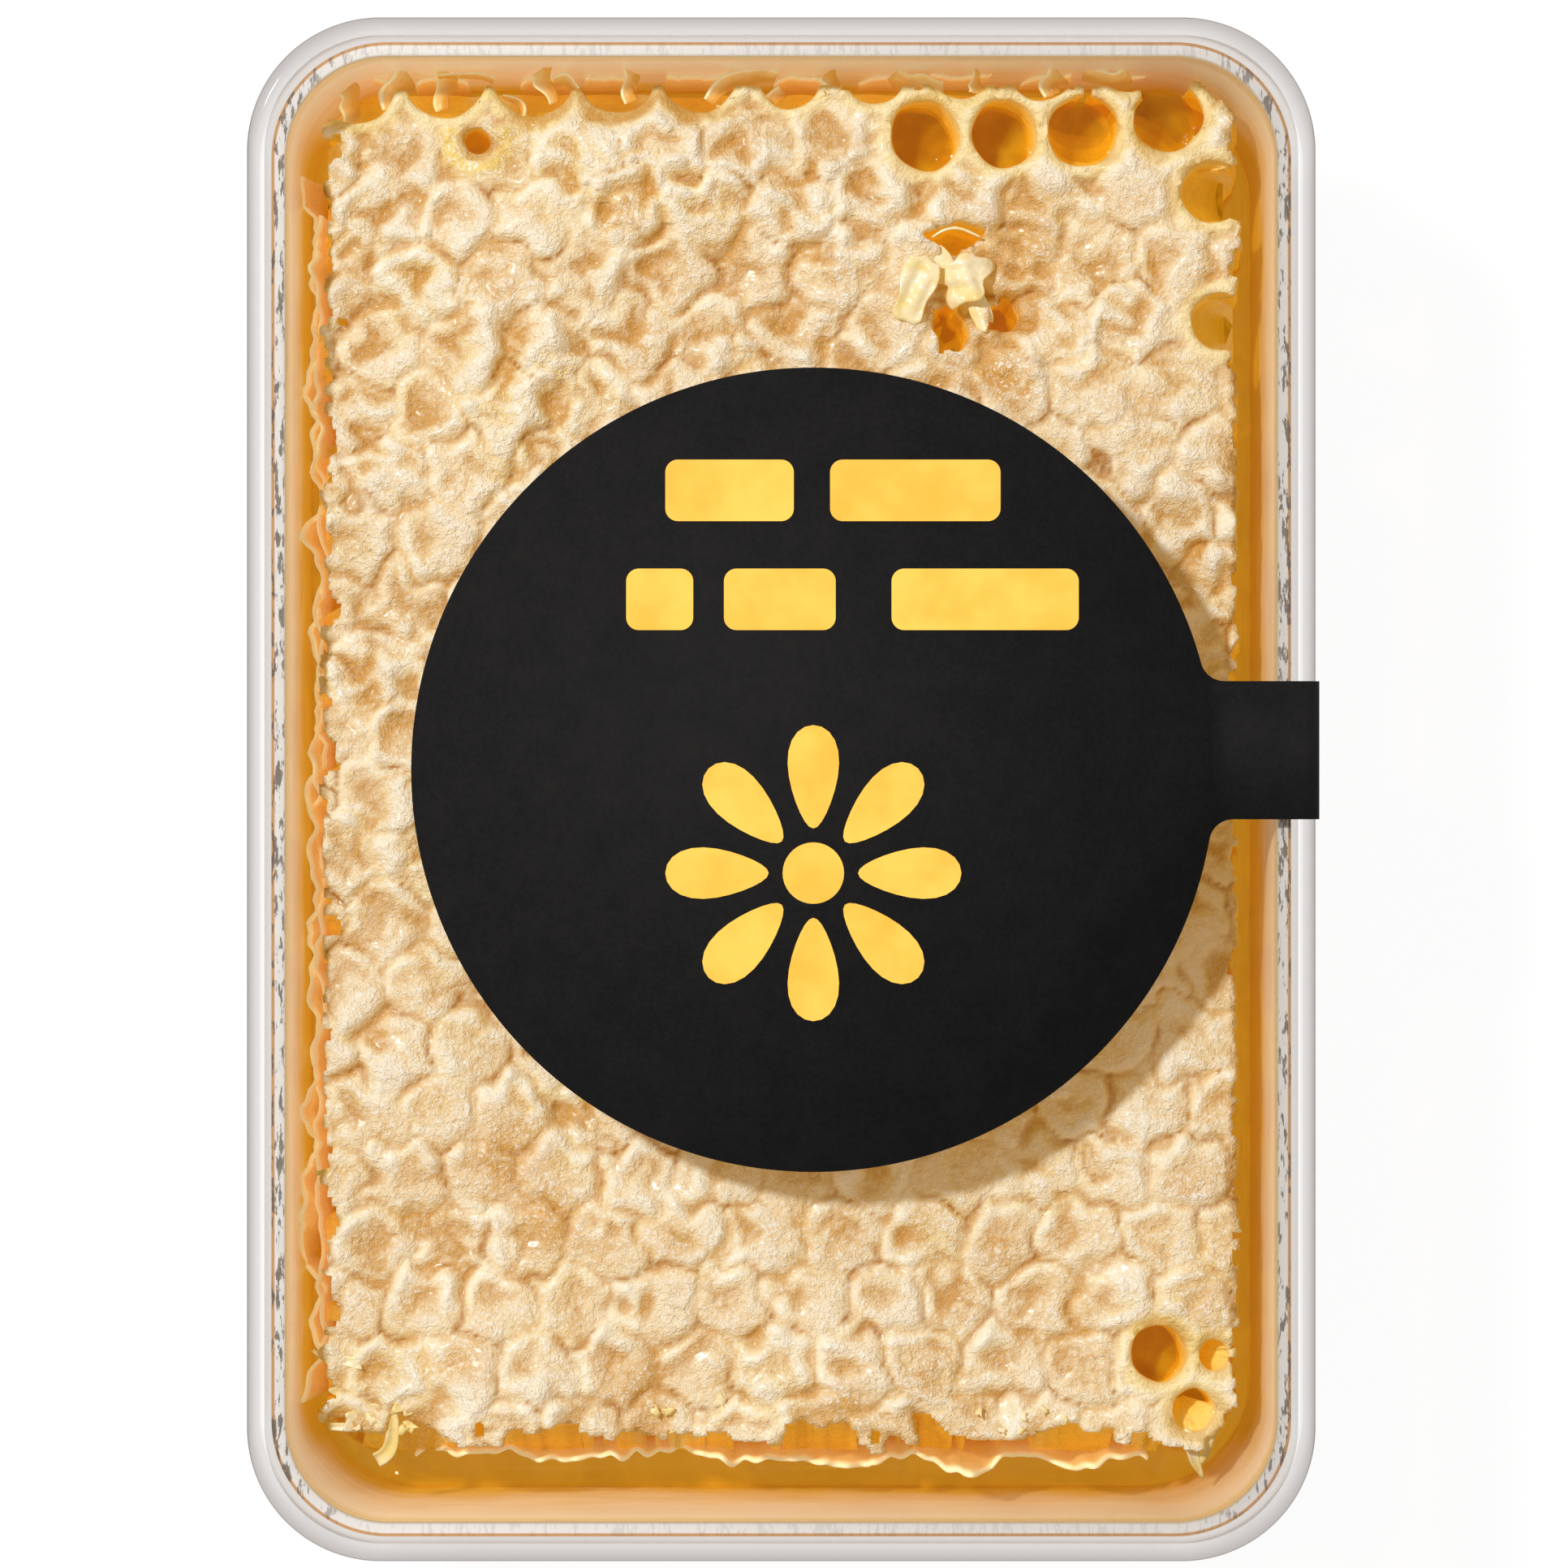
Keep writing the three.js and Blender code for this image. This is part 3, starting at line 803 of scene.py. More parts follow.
edges, rim, number = free_edge(caps)
flat_rim = rim[:, :2]
outward = -unit_ways(cap_cover, flat_rim)
slab_in = unit_ways(slab_depth, flat_rim)
cut_here = slab_depth(flat_rim) < CUT_DEPTH
capped_cut = cell_centres[cut_cells & ~far_cells]
upper_recess = np.where(cut_here, recess(flat_rim, slab_in, capped_cut, SIDE_CELL_BORE), 0)
lower_all = cell_centres + LOWER_SHIFT
lower_depth = slab_depth(lower_all)
lower_cut = lower_all[(lower_depth < CUT_CELL_INSIDE) & (lower_depth > -CUT_CELL_OUTSIDE)]
lower_recess = np.where(cut_here, recess(flat_rim, slab_in, lower_cut, SIDE_CELL_BORE), 0)

# The longest loop of edges is the slab's outer rim, and the others are the holes' rims
loops = hanging_together(
    edges, lambda edge: [other for vert in edge.verts for other in vert.link_edges])
edges_now, *hole_loops = sorted(loops, key=len, reverse=True)
for out, down, share in LIP_LEVELS:
    lip_points = rim.copy()
    lip_points[:, :2] += out * MM * outward
    lip_points[:, 2] -= down * MM
    edges_now = drawn_down(caps, edges_now, number, lip_points, wall_layer, share)
for level, upper, lower, push in SIDE_LEVELS:
    z = level * MM
    spread, drawn_in = side_shape(z)
    bare = np.clip((26 - level) / 4, 0, 1) * np.clip(slab_depth(flat_rim), 0, 3 * MM)
    inward = upper * upper_recess + lower * lower_recess - push * MM - (spread - drawn_in) - bare
    side = rim.copy()
    side[:, :2] += inward[:, None] * slab_in
    side[:, 1] -= spread
    spots = np.stack([flat_rim.sum(axis=1), np.full(len(rim), z)], axis=1)
    side[:, :2] += (SIDE_SWAY * ripple(spots, SIDE_WAVE, 51))[:, None] * outward
    side[:, 2] = np.minimum(z, rim[:, 2] - (28.6 - level) * 0.3 * MM - 0.8 * MM)
    depth_share = min(1.0, 0.5 + (28 - level) * 0.2)
    edges_now = drawn_down(caps, edges_now, number, side, wall_layer, depth_share)
bmesh.ops.contextual_create(caps, geom=edges_now)
for loop in hole_loops:
    inside = sorted({vert[number] for edge in loop for vert in edge.verts})
    centre = flat_rim[inside].mean(axis=0)
    shrink = np.linalg.norm(flat_rim[inside] - centre, axis=1).mean() / OPEN_CELL_BORE
    edges_now = loop
    for level, toward in HOLE_LEVELS:
        step_in = rim.copy()
        step_in[:, :2] += toward * shrink * MM * outward
        step_in[:, :2] += CELL_LEAN * min((28.1 - level) * MM, LEAN_DEPTH) * min(shrink, 1)
        step_in[:, 2] = rim[:, 2] - (28.7 - level) * MM
        depth_share = min(1.0, 0.15 + (28.3 - level) * 0.22)
        edges_now = drawn_down(caps, edges_now, number, step_in, wall_layer, depth_share)
    bmesh.ops.contextual_create(caps, geom=edges_now)

WAX_LIGHT = srgb(250, 230, 192)
WAX_WARM = srgb(232, 198, 146)
WAX_FLAT = srgb(236, 204, 160)
WAX_FOLD_TONE_AND_PIT_SHADE = srgb(194, 124, 26)
WAX_RIDGE_HIGHLIGHT = srgb(250, 240, 216)
WAX_SPECK = srgb(255, 250, 232)
# Factors that cool the caps' colour, so that the painted warm glow brings their warmth back
WAX_SHELL = (0.67, 0.82, 0.98)
# Painted glow: the caps, walls and flakes glow in this warm colour, standing in for light passing
# through the wax and honey. It dims to the next colour in cracks, pores and shaded hollows
PAINTED_WAX_GLOW = srgb(150, 102, 10)
PAINTED_GLOW_DIM = srgb(116, 66, 2)
WAX_YELLOW = srgb(250, 220, 130)
WAX_GOLD = srgb(245, 200, 70)
WAX_SOAKED = srgb(200, 142, 78)
WAX_PORE = srgb(150, 84, 16)
WAX_CRACK = srgb(160, 92, 4)
WALL_RIM = srgb(220, 208, 142)
WALL_AMBER = srgb(220, 172, 34)
WALL_DEEP = srgb(206, 150, 6)

comb_wax, place = bare_material("comb_wax")
crack, soak, wall, welt, flat, web, pit, stain, gold = (
    place.mark(name)
    for name in ("crack", "soak", "wall", "welt", "flat", "web", "pit", "stain", "gold"))
cloud = place.noise(5 * MM, 3, 0.65)
grain = place.noise(0.6 * MM, 3, 0.75)
fine = place.noise(0.24 * MM, 3, 0.7)
folds = place.noise(1.5 * MM, 3, 0.55, 0.8)
tone = cloud.between(0.35, 0.72).mixed(WAX_LIGHT, WAX_WARM)
tone = (flat * grain.between(0.3, 0.62)).mixed(tone, WAX_FLAT)
yellow = place.noise(13 * MM, 3, 0.5).between(0.5, 0.72) * folds.between(0.3, 0.7)
tone = (yellow * 0.45 + web * 0.4 + welt * 0.12).mixed(tone, WAX_YELLOW)
# Painted shade browns the hollows and painted highlight pales the ridges; the fold noise adds random
# tone
tone = (pit * 0.6 + (folds - 0.5) * 0.3).mixed(tone, WAX_FOLD_TONE_AND_PIT_SHADE)
tone = (pit * -0.6).mixed(tone, WAX_RIDGE_HIGHLIGHT)
tone = (gold * 0.8).mixed(tone, WAX_GOLD)
tone = ((stain + soak) * (0.35 + 0.65 * grain.between(0.25, 0.6))).mixed(tone, WAX_SOAKED)
pores = fine.between(0.62, 0.7) * place.noise(2.6 * MM, 2).between(0.42, 0.6)
tone = (pores * (0.15 + flat * 0.55) * (1 - web)).mixed(tone, WAX_PORE)
specks = place.noise(0.3 * MM, 2, 0.6).between(0.52, 0.66) * (1 - web)
tone = (specks * (0.55 - pit * 0.3)).mixed(tone, WAX_SPECK)
tone = (crack * folds.between(0.25, 0.55)).mixed(tone, WAX_CRACK)
streak = place.noise(1.1 * MM, 3, 0.6)
deep = streak.between(0.3, 0.7).mixed(WALL_AMBER, WALL_DEEP)
deep = (wall * 1.25 - 0.25).mixed(WALL_RIM, deep)
tone = wall.between(0.05, 0.55).mixed(tone.times(*WAX_SHELL), deep)
# Where the painted glow is dimmed: cracks, pores and the painted shade of the hollows
dim = crack * 0.6 + pores * (0.15 + flat * 0.5) + pit * 0.4
wet = wall * 0.5 + soak * 0.3 + web * 0.2
normal = (grain * (0.5 + flat * 0.6) + folds * 0.7).bump(0.36 * MM, fine.bump(0.1 * MM))
place.solid({
    "Base Color": tone,
    "Roughness": 0.42 + 0.2 * grain - wet,
    "IOR": 1.44,
    "Normal": normal,
    "Coat Weight": folds.between(0.45, 0.7) * 0.3,
    "Coat Roughness": 0.18,
    "Emission Color": dim.mixed(PAINTED_WAX_GLOW, PAINTED_GLOW_DIM),
    "Emission Strength": 1.0,
}).shown()
placed_piece("comb_slab", caps, comb_wax, ["comb"], sharp=180)

# Underside: the lower layer's caps, pressed flat on the tray's floor by their own weight.
UNDER_COLUMNS = 110
UNDER_ROWS = 164
UNDER_THICKNESS = 0.7 * MM
UNDER_INSET = 0.5 * MM
UNDER_RELIEF = 0.5 * MM
UNDER_SPLIT = 0.3 * MM


def under_cover(points):
    """Positive inside the slab's drawn-in foot."""
    return slab_depth(points) - UNDER_INSET + 0.2 * MM * ripple(points, 3 * MM, 71)


under = trimmed_sheet(CAP_LOW, CAP_HIGH, UNDER_COLUMNS, UNDER_ROWS, under_cover)
under_points = np.array([vert.co.xy for vert in under.verts])
cell, border = nearest_cells(under_points - LOWER_SHIFT)
relief = np.clip(border / (1.1 * MM), 0, 1) ** 0.5 * (0.25 + 0.15 * cell_moods[cell, 0])
relief += 0.05 * ripple(under_points, 4 * MM, 72)
split_layer, flat_layer, soak_layer = (
    under.verts.layers.float.new(mark) for mark in ("crack", "flat", "soak"))
soaks = np.clip(0.45 + 0.4 * ripple(under_points, 12 * MM, 73), 0, 1)
for i, vert in enumerate(under.verts):
    vert.co.z = COMB_BASE + UNDER_RELIEF - relief[i] * MM
    vert[split_layer] = float(bell(border[i], UNDER_SPLIT))
    vert[flat_layer] = 1.0
    vert[soak_layer] = float(soaks[i])
for vert in new_points(bmesh.ops.extrude_face_region(under, geom=list(under.faces))):
    vert.co.z = COMB_BASE + UNDER_RELIEF + UNDER_THICKNESS
bmesh.ops.recalc_face_normals(under, faces=under.faces)
placed_piece("comb_underside", under, comb_wax, sharp=180)

# Cell honey: each open cell still holds honey over its floor of three sloping wax
# facets. The honey is clear, with a dipped surface that clings to the cell's wall.
FACET_LEVEL = 23.2 * MM
FACET_RADIUS = 2.95 * MM
FACET_DROP = 2.0 * MM
FACET_DEPTH = 2.4 * MM
CELL_HONEY_LEVEL = 25.2 * MM
CELL_HONEY_RADIUS = 2.85 * MM
CELL_HONEY_DIP = 0.5 * MM
CELL_HONEY_DEPTH = 1.7 * MM
BITE_WIDTH = 2.4 * MM
BITE_SHIFT = 0.7 * MM


def solid_disc(bm, centre, radius, level, sides, drops, depth, turn=0.0):
    """A closed round block whose top is lowered at its middle and at each corner in turn."""
    place = Matrix.Translation((*centre, level)) @ Matrix.Rotation(turn, 4, "Z")
    made = bmesh.ops.create_circle(bm, cap_ends=True, cap_tris=True, segments=sides,
                                   radius=radius, matrix=place)["verts"]
    middle = min(made, key=lambda vert: (vert.co.xy - Vector(centre)).length)
    corners = [vert for vert in made if vert != middle]
    corners.sort(key=lambda vert: math.atan2(vert.co.y - centre[1], vert.co.x - centre[0]))
    middle.co.z -= drops[0]
    for i, vert in enumerate(corners):
        vert.co.z -= drops[1 + i % (len(drops) - 1)]
    faces = list({face for vert in made for face in vert.link_faces})
    for vert in new_points(bmesh.ops.extrude_face_region(bm, geom=faces)):
        vert.co.z = level - depth


facets = bmesh.new()
cell_honey = bmesh.new()
for i, (x, y, bore) in enumerate(inner_mouths):
    size = bore / OPEN_CELL_BORE
    if size <= 0.5:
        continue
    lean = CELL_LEAN * LEAN_DEPTH * 0.8 * min(size, 1)
    in_bite = COMB_RIGHT - x < BITE_WIDTH and y > 0
    centre = (x + lean[0] - (BITE_SHIFT if in_bite else 0), y + lean[1])
    drop = FACET_DROP * size
    solid_disc(facets, centre, FACET_RADIUS * size, FACET_LEVEL, 6,
               (drop, drop / 2, 0), FACET_DEPTH, 0.35 + 0.7 * i)
    if not in_bite:
        solid_disc(cell_honey, centre, CELL_HONEY_RADIUS * size, CELL_HONEY_LEVEL, 24,
                   (CELL_HONEY_DIP, 0), CELL_HONEY_DEPTH)
solid_disc(cell_honey, (pin_x, pin_y), 1.5 * MM, 26 * MM, 16, (0.3 * MM, 0), 2 * MM)
for built in (facets, cell_honey):
    bmesh.ops.recalc_face_normals(built, faces=built.faces)
HONEY_BODY = srgb(190, 142, 4)
HONEY_LIGHT = srgb(226, 184, 20)


def honey_material(name, cloud_size, see_through, glow, shades=(HONEY_BODY, HONEY_LIGHT)):
    """Clear amber honey: partly see-through, cloudy, glossy, with a painted glow that stands in for
    light coming through it from all sides.
    """
    made, place = bare_material(name)
    cloud = place.noise(cloud_size, 3, 0.55, 0.6)
    colour = cloud.between(0.35, 0.7).mixed(*shades)
    body = place.solid({
        "Base Color": colour,
        "Roughness": 0.08,
        "IOR": 1.4,
        "Normal": place.noise(cloud_size * 0.5, 2, 0.5).bump(cloud_size * 0.1),
        "Emission Color": colour,
        "Emission Strength": glow,
    })
    share = cloud * 0.25 + (1 - see_through)
    share.blended(place.see_through(246, 226, 120), body).shown()
    return made


floor_wax = honey_material("cell_floor_wax", 1.6 * MM, 0.0, 0.16)
placed_piece("cell_floors", facets, floor_wax, sharp=12)
clear_honey = honey_material("cell_honey", 3 * MM, 0.85, 0.2)
placed_piece("cell_honey", cell_honey, clear_honey, sharp=60)

# Torn walls: thin sheets of wax left standing where the knife opened the cells, along
# the far edge, and wavy strips of them between the comb's sides and the tray.
WALL_SHEET = 0.22 * MM
LAST_TUBE_X = 31 * MM
TUBE_FOOT = 16.4 * MM
TUBE_TOP = 26.6 * MM
TUBE_RADIUS = 2.65 * MM


def leaf(bm, columns, rows, shape):
    """A thin sheet bent to a shape, which gives a point for each place (u, v) across it."""
    lip = bm.verts.layers.float.get("lip") or bm.verts.layers.float.new("lip")
    made = bmesh.ops.create_grid(bm, x_segments=columns, y_segments=rows, size=0.5)["verts"]
    for vert in made:
        vert[lip] = vert.co.y + 0.5
        vert.co = shape(vert.co.x + 0.5, vert.co.y + 0.5)


def thickened(made, thickness, offset=0):
    """Gives a piece made of sheets its thickness, to both sides or outward."""
    thick = made.modifiers.new("thickness", "SOLIDIFY")
    thick.thickness = thickness
    thick.offset = offset


def ribbon(i, start, middle, end, widths, levels, curl):
    """The shape of a strip of wax along a bow through three flat points, uneven and cupped."""

    def shape(u, v):
        shares = ((1 - u) ** 2, 2 * u * (1 - u), u**2)
        bow = zip(start, middle, end)
        x, y = (sum(s * p for s, p in zip(shares, places)) for places in bow)
        dx = (middle[0] - start[0]) * (1 - u) + (end[0] - middle[0]) * u
        dy = (middle[1] - start[1]) * (1 - u) + (end[1] - middle[1]) * u
        length = math.hypot(dx, dy)
        wide = sum(s * w for s, w in zip(shares, widths))
        wide *= 1 + 0.18 * math.sin(9 * u + 4 * v + i)
        off = (v - 0.5) * wide + 0.12 * math.sin(5 * u + i)
        level = sum(s * z for s, z in zip(shares, levels))
        level += curl * (2 * v - 1) ** 2 * wide * 0.5
        return (x - off * dy / length) * MM, (y + off * dx / length) * MM, level * MM

    return shape


# Each tongue of torn wall in millimetres: where it starts, bends and ends, its widths and
# heights at these places, and how much it is cupped
FAR_TONGUES = [
    ((-31.3, 48.6), (-31.2, 50.3), (-31.8, 51.0), (1.2, 1.3, 1.5), (28.6, 27.9, 27.4), 0.3),
    ((-28.4, 49.5), (-28.5, 51.2), (-27.2, 52.1), (1.2, 1.7, 2.0), (28.4, 28.1, 27.5), 0.5),
    ((-24.6, 49.5), (-25.0, 51.0), (-24.2, 52.2), (0.9, 1.1, 1.9), (28.4, 28.2, 27.7), -0.4),
    ((-25.0, 51.9), (-22.9, 52.5), (-21.0, 51.5), (0.2, 0.4, 0.5), (28.2, 28.5, 28.2), 0.3),
    ((-20.4, 50.8), (-18.8, 50.6), (-19.0, 49.0), (0.2, 0.6, 0.25), (26.0, 26.5, 27.0), 0.4),
    ((-16.6, 49.9), (-17.0, 51.3), (-17.6, 52.2), (0.7, 0.9, 2.0), (28.8, 29.4, 29.6), 0.2),
    ((-16.6, 51.5), (-15.6, 51.7), (-14.8, 51.0), (0.7, 1.1, 0.5), (28.7, 28.8, 28.3), 0.5),
    ((-10.9, 50.0), (-11.3, 51.2), (-10.9, 52.2), (1.0, 0.6, 1.2), (28.8, 29.0, 28.7), 0.3),
    ((-5.2, 50.0), (-3.2, 52.9), (-0.4, 51.8), (0.8, 1.5, 0.8), (28.6, 28.4, 28.0), 0.4),
    ((-4.8, 49.6), (-2.0, 49.0), (0.2, 50.8), (0.5, 0.9, 1.0), (27.5, 26.5, 27.5), 0.4),
    ((3.4, 50.2), (4.0, 51.3), (3.4, 52.2), (1.1, 0.7, 1.4), (28.7, 28.6, 28.2), 0.4),
    ((8.2, 52.2), (9.4, 50.9), (11.8, 50.9), (1.0, 1.9, 1.5), (27.8, 28.2, 28.6), -0.5),
    ((14.2, 50.6), (14.4, 51.3), (14.0, 52.3), (1.4, 0.8, 0.3), (28.9, 28.9, 28.7), 0.2),
    ((19.7, 50.5), (19.4, 51.4), (20.2, 52.2), (1.2, 1.3, 1.9), (28.8, 28.8, 28.3), 0.4),
    ((22.0, 52.1), (24.0, 51.5), (25.4, 52.1), (0.9, 1.1, 1.3), (27.9, 28.1, 28.0), 0.4),
]
FAR_WALL_ROOM = TRAY_HALF_LENGTH - TRAY_WALL - 0.55 * MM
torn_walls = bmesh.new()
for x, y, bore in far_mouths:
    if abs(x) > LAST_TUBE_X:
        continue
    side, whole, wobble, sag = (next(draws) for _ in range(4))
    torn_off = 75 if whole > 0.45 else 0
    start = math.radians(-15 + (torn_off if side > 0.5 else 0))
    end = math.radians(195 - (torn_off if side <= 0.5 else 0))
    reach = (FAR_WALL_ROOM - y) * (0.88 + 0.12 * wobble)
    lean = (side - 0.5) * 0.9

    def torn_tube(u, v):
        turn = start + (end - start) * u
        torn = 0.4 * math.sin(5 * turn + 6 * wobble) + 0.2 * math.sin(13 * turn + 9 * wobble)
        free = u if start > 0 else 1 - u if end < 3 else 1
        torn += 5 * max(0, 1 - free / 0.3) ** 1.5
        top = TUBE_TOP - ((0.4 + 1.6 * sag) * math.sin(math.pi * u) ** 2 + torn) * MM
        away = reach * math.sin(turn) * (0.42 + 0.58 * v ** 0.7)
        across = TUBE_RADIUS * math.cos(turn) * (1 - 0.15 * v) + lean * away * v
        return x + across, y + away, TUBE_FOOT + (top - TUBE_FOOT) * v

    leaf(torn_walls, 30, 9, torn_tube)
for i, tongue in enumerate(FAR_TONGUES):
    leaf(torn_walls, 16, 8, ribbon(i, *tongue))

STRIP_PLACES = 221
STRIP_FOOT = 14 * MM
STRIP_ROOM = 2.2 * MM
# Each strip's way out from the comb, the side it hangs at, its length, reach in mm and seed
STRIPS = [
    ((-1, 0), COMB_LEFT, 90 * MM, 2.5, 61),
    ((-1, 0), COMB_LEFT, 84 * MM, 1.3, 66),
    ((0, -1), -COMB_NEAR, 54 * MM, 1.9, 63),
]
for way, edge, length, reach, seed in STRIPS:
    along = np.linspace(-length / 2, length / 2, STRIP_PLACES)
    spots = np.stack([np.full(STRIP_PLACES, edge), along], axis=1)
    sway = ripple(spots, 8 * MM, seed)
    bulge = 0.75 + 0.22 * ripple(spots, 6 * MM, seed + 2)
    bulge = np.clip(bulge + 0.1 * ripple(spots, 2 * MM, seed + 3), 0, 1.1)
    tops = 24 + 2.0 * ripple(spots, 8 * MM, seed + 4) + 0.6 * ripple(spots, 2.5 * MM, seed + 8)

    def torn_strip(u, v):
        i = round(u * (STRIP_PLACES - 1))
        height = STRIP_FOOT + (tops[i] * MM - STRIP_FOOT) * v
        away = (0.3 + reach * bulge[i] * (0.75 + 0.12 * sway[i])) * MM * (0.35 + 0.75 * v)
        out = abs(edge) + min(away, STRIP_ROOM)
        return way[0] * out or along[i], way[1] * out or along[i], height

    leaf(torn_walls, STRIP_PLACES - 1, 6, torn_strip)
bmesh.ops.recalc_face_normals(torn_walls, faces=torn_walls.faces)
thin_wax, place = bare_material("thin_wax")
streak = place.noise(1.4 * MM, 3, 0.6)
lip = place.mark("lip")
rim_line = lip.between(0.84, 0.97)
lip = (lip + (streak - 0.5) * 0.7).between(0.1, 1.0)
colour = lip.mixed(srgb(224, 172, 80), srgb(238, 210, 146))
colour = rim_line.mixed(colour, srgb(250, 234, 184))
# The thin wax glows with painted light in its own colour, standing in for light passing through it
body = place.solid({
    "Base Color": colour,
    "Roughness": 0.25,
    "IOR": 1.4,
    "Emission Color": colour,
    "Emission Strength": 0.32,
})
share = 0.36 + lip * 0.2 + rim_line * 0.3
share.blended(place.see_through(250, 236, 190), body).shown()
thickened(placed_piece("torn_walls", torn_walls, thin_wax, sharp=180), WALL_SHEET)

# Flakes: scraps of cap left by the knife, curled up over the torn patch, hanging from
# the near corners and strewn as crumbs along the near edge.
# Each flake's middle, height, half width and half length in millimetres, its turn, its
# curl and how ragged it is
FLAKES = [
    (9.8, 36.4, 29.6, 1.25, 2.5, -0.32, 0.14, 0.16),
    (13.3, 37.2, 29.3, 1.9, 1.7, 0.5, -0.8, 0.36),
    (14.3, 35.3, 28.7, 0.7, 1.9, 0.35, -0.5, 0.2),
    (11.9, 38.4, 28.9, 0.6, 1.5, 0.6, -0.5, 0.2),
    (-30.2, -45.8, 28.4, 1.5, 0.8, 0.15, 0.7, 0.3),
    (-31.6, -44.0, 28.2, 1.0, 0.7, -0.3, 0.8, 0.4),
    (-27.0, -44.6, 29.2, 1.1, 0.7, 0.6, 0.5, 0.3),
]
RIBBONS = [
    ((11.0, 40.2), (12.8, 41.3), (14.6, 40.3), (0.1, 0.3, 0.1), (28.5, 28.8, 28.5), 0.3),
    ((29.0, -47.0), (30.2, -48.0), (30.8, -50.3), (1.4, 1.1, 0.15), (28.8, 28.4, 27.4), 0.5),
    ((31.5, -45.2), (31.9, -47.2), (30.4, -49.0), (0.5, 0.9, 0.5), (28.8, 28.6, 28.0), -0.4),
    ((-28.6, -44.6), (-27.2, -47.4), (-29.6, -48.8), (0.6, 0.9, 1.1), (28.9, 28.4, 27.8), 0.6),
    ((-33.0, -46.4), (-30.6, -46.2), (-28.9, -46.9), (0.5, 0.8, 0.4), (28.2, 28.5, 28.2), 0.4),
    ((-34.1, -40.8), (-32.8, -42.0), (-30.6, -41.6), (0.2, 0.6, 0.9), (28.2, 28.7, 29.0), 0.4),
    ((-33.9, -27.9), (-33.0, -28.2), (-31.8, -27.4), (0.25, 0.45, 0.5), (28.6, 28.9, 29.2), 0.3),
]
CRUMBS = 34
CRUMB_LEVEL = 28.9
FLAKE_THICKNESS = 0.16 * MM
for _ in range(CRUMBS):
    x = -31.5 + 54 * next(draws) ** 1.6
    y = -46.8 + 2.4 * next(draws)
    size = 0.18 + 0.32 * next(draws)
    FLAKES.append((x, y, CRUMB_LEVEL, size, size * 0.7, 6.28 * next(draws), next(draws), 0.5))
flakes = bmesh.new()
for i, strip in enumerate(RIBBONS):
    leaf(flakes, 18, 6, ribbon(i, *strip))
for i, (cx, cy, level, half_x, half_y, turn, curl, rough) in enumerate(FLAKES):

    def curled(u, v):
        a, b = 2 * u - 1, 2 * v - 1
        bound = math.hypot(a, b) + 1e-6
        square = (max(abs(a), abs(b)) / bound) ** 0.4
        bearing = math.atan2(b, a)
        ragged = math.sin(3 * bearing + i) * 0.5 + math.sin(5 * bearing + 2 * i) * 0.5
        reach = square * (1 + rough * ragged)
        a, b = a * reach * half_x, b * reach * half_y
        lift = curl * (a * a / max(half_x, 0.5) + 0.4 * b * abs(b) / max(half_y, 0.5))
        x = cx + a * math.cos(turn) - b * math.sin(turn)
        y = cy + a * math.sin(turn) + b * math.cos(turn)
        crumple = 0.11 * min(half_x, 2) * math.sin(3.1 * a + 1.4 * b + i)
        crumple *= math.cos(2.7 * b - 1.1 * a + i)
        return x * MM, y * MM, (level + 0.6 * lift + crumple + 0.06 * math.sin(5 * a + i)) * MM

    parts = 20 if half_x + half_y > 1.2 else 3
    leaf(flakes, parts, parts, curled)
flake_wax, place = bare_material("flake_wax")
cloud = place.noise(2.5 * MM, 3, 0.6)
place.solid({
    "Base Color": cloud.between(0.35, 0.65).mixed(srgb(226, 220, 190), srgb(216, 198, 130)),
    "Roughness": 0.2,
    # The flakes carry the same painted glow as the caps
    "Emission Color": PAINTED_WAX_GLOW,
    "Emission Strength": 0.6,
    "Normal": place.noise(0.8 * MM, 3, 0.6).bump(0.1 * MM),
}).shown()
thickened(placed_piece("wax_flakes", flakes, flake_wax, sharp=180), FLAKE_THICKNESS)

# Pooled honey: what has run out of the cut cells. It stands round the comb up to the
# level of its midrib and wets the tray's wall, where it climbs a little at the edges.
HONEY_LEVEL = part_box("honey_pool")[1].z
HONEY_IN_WALL = 0.15 * MM
HONEY_IN_FLOOR = 0.1 * MM
HONEY_CLIMB = 1.0 * MM
CLIMB_REACH = 2.2 * MM
CLIMB_FALL = 0.7 * MM
CLIMB_STEPS = 6
half_width = TRAY_HALF_WIDTH - TRAY_WALL + HONEY_IN_WALL
half_length = TRAY_HALF_LENGTH - TRAY_WALL + HONEY_IN_WALL
pool = foot_profile(TRAY_FLOOR - HONEY_IN_FLOOR, INNER_FOOT, 0, 6)
for i in range(CLIMB_STEPS + 1):
    away = CLIMB_REACH * i / CLIMB_STEPS
    height = HONEY_LEVEL - 0.4 * MM + HONEY_CLIMB * math.exp(-away / CLIMB_FALL)
    pool.append((tray_inset(HONEY_LEVEL) + away, height, 0, 0))
honey_pool = moulded_shell(pool, half_width, half_length, TRAY_CORNER - TRAY_WALL)
pool_shades = (srgb(194, 122, 14), srgb(212, 148, 30))
pool_honey = honey_material("pool_honey", 6 * MM, 0.6, 0.32, pool_shades)
placed_piece("honey_round_comb", honey_pool, pool_honey, ["honey_pool"], sharp=60)

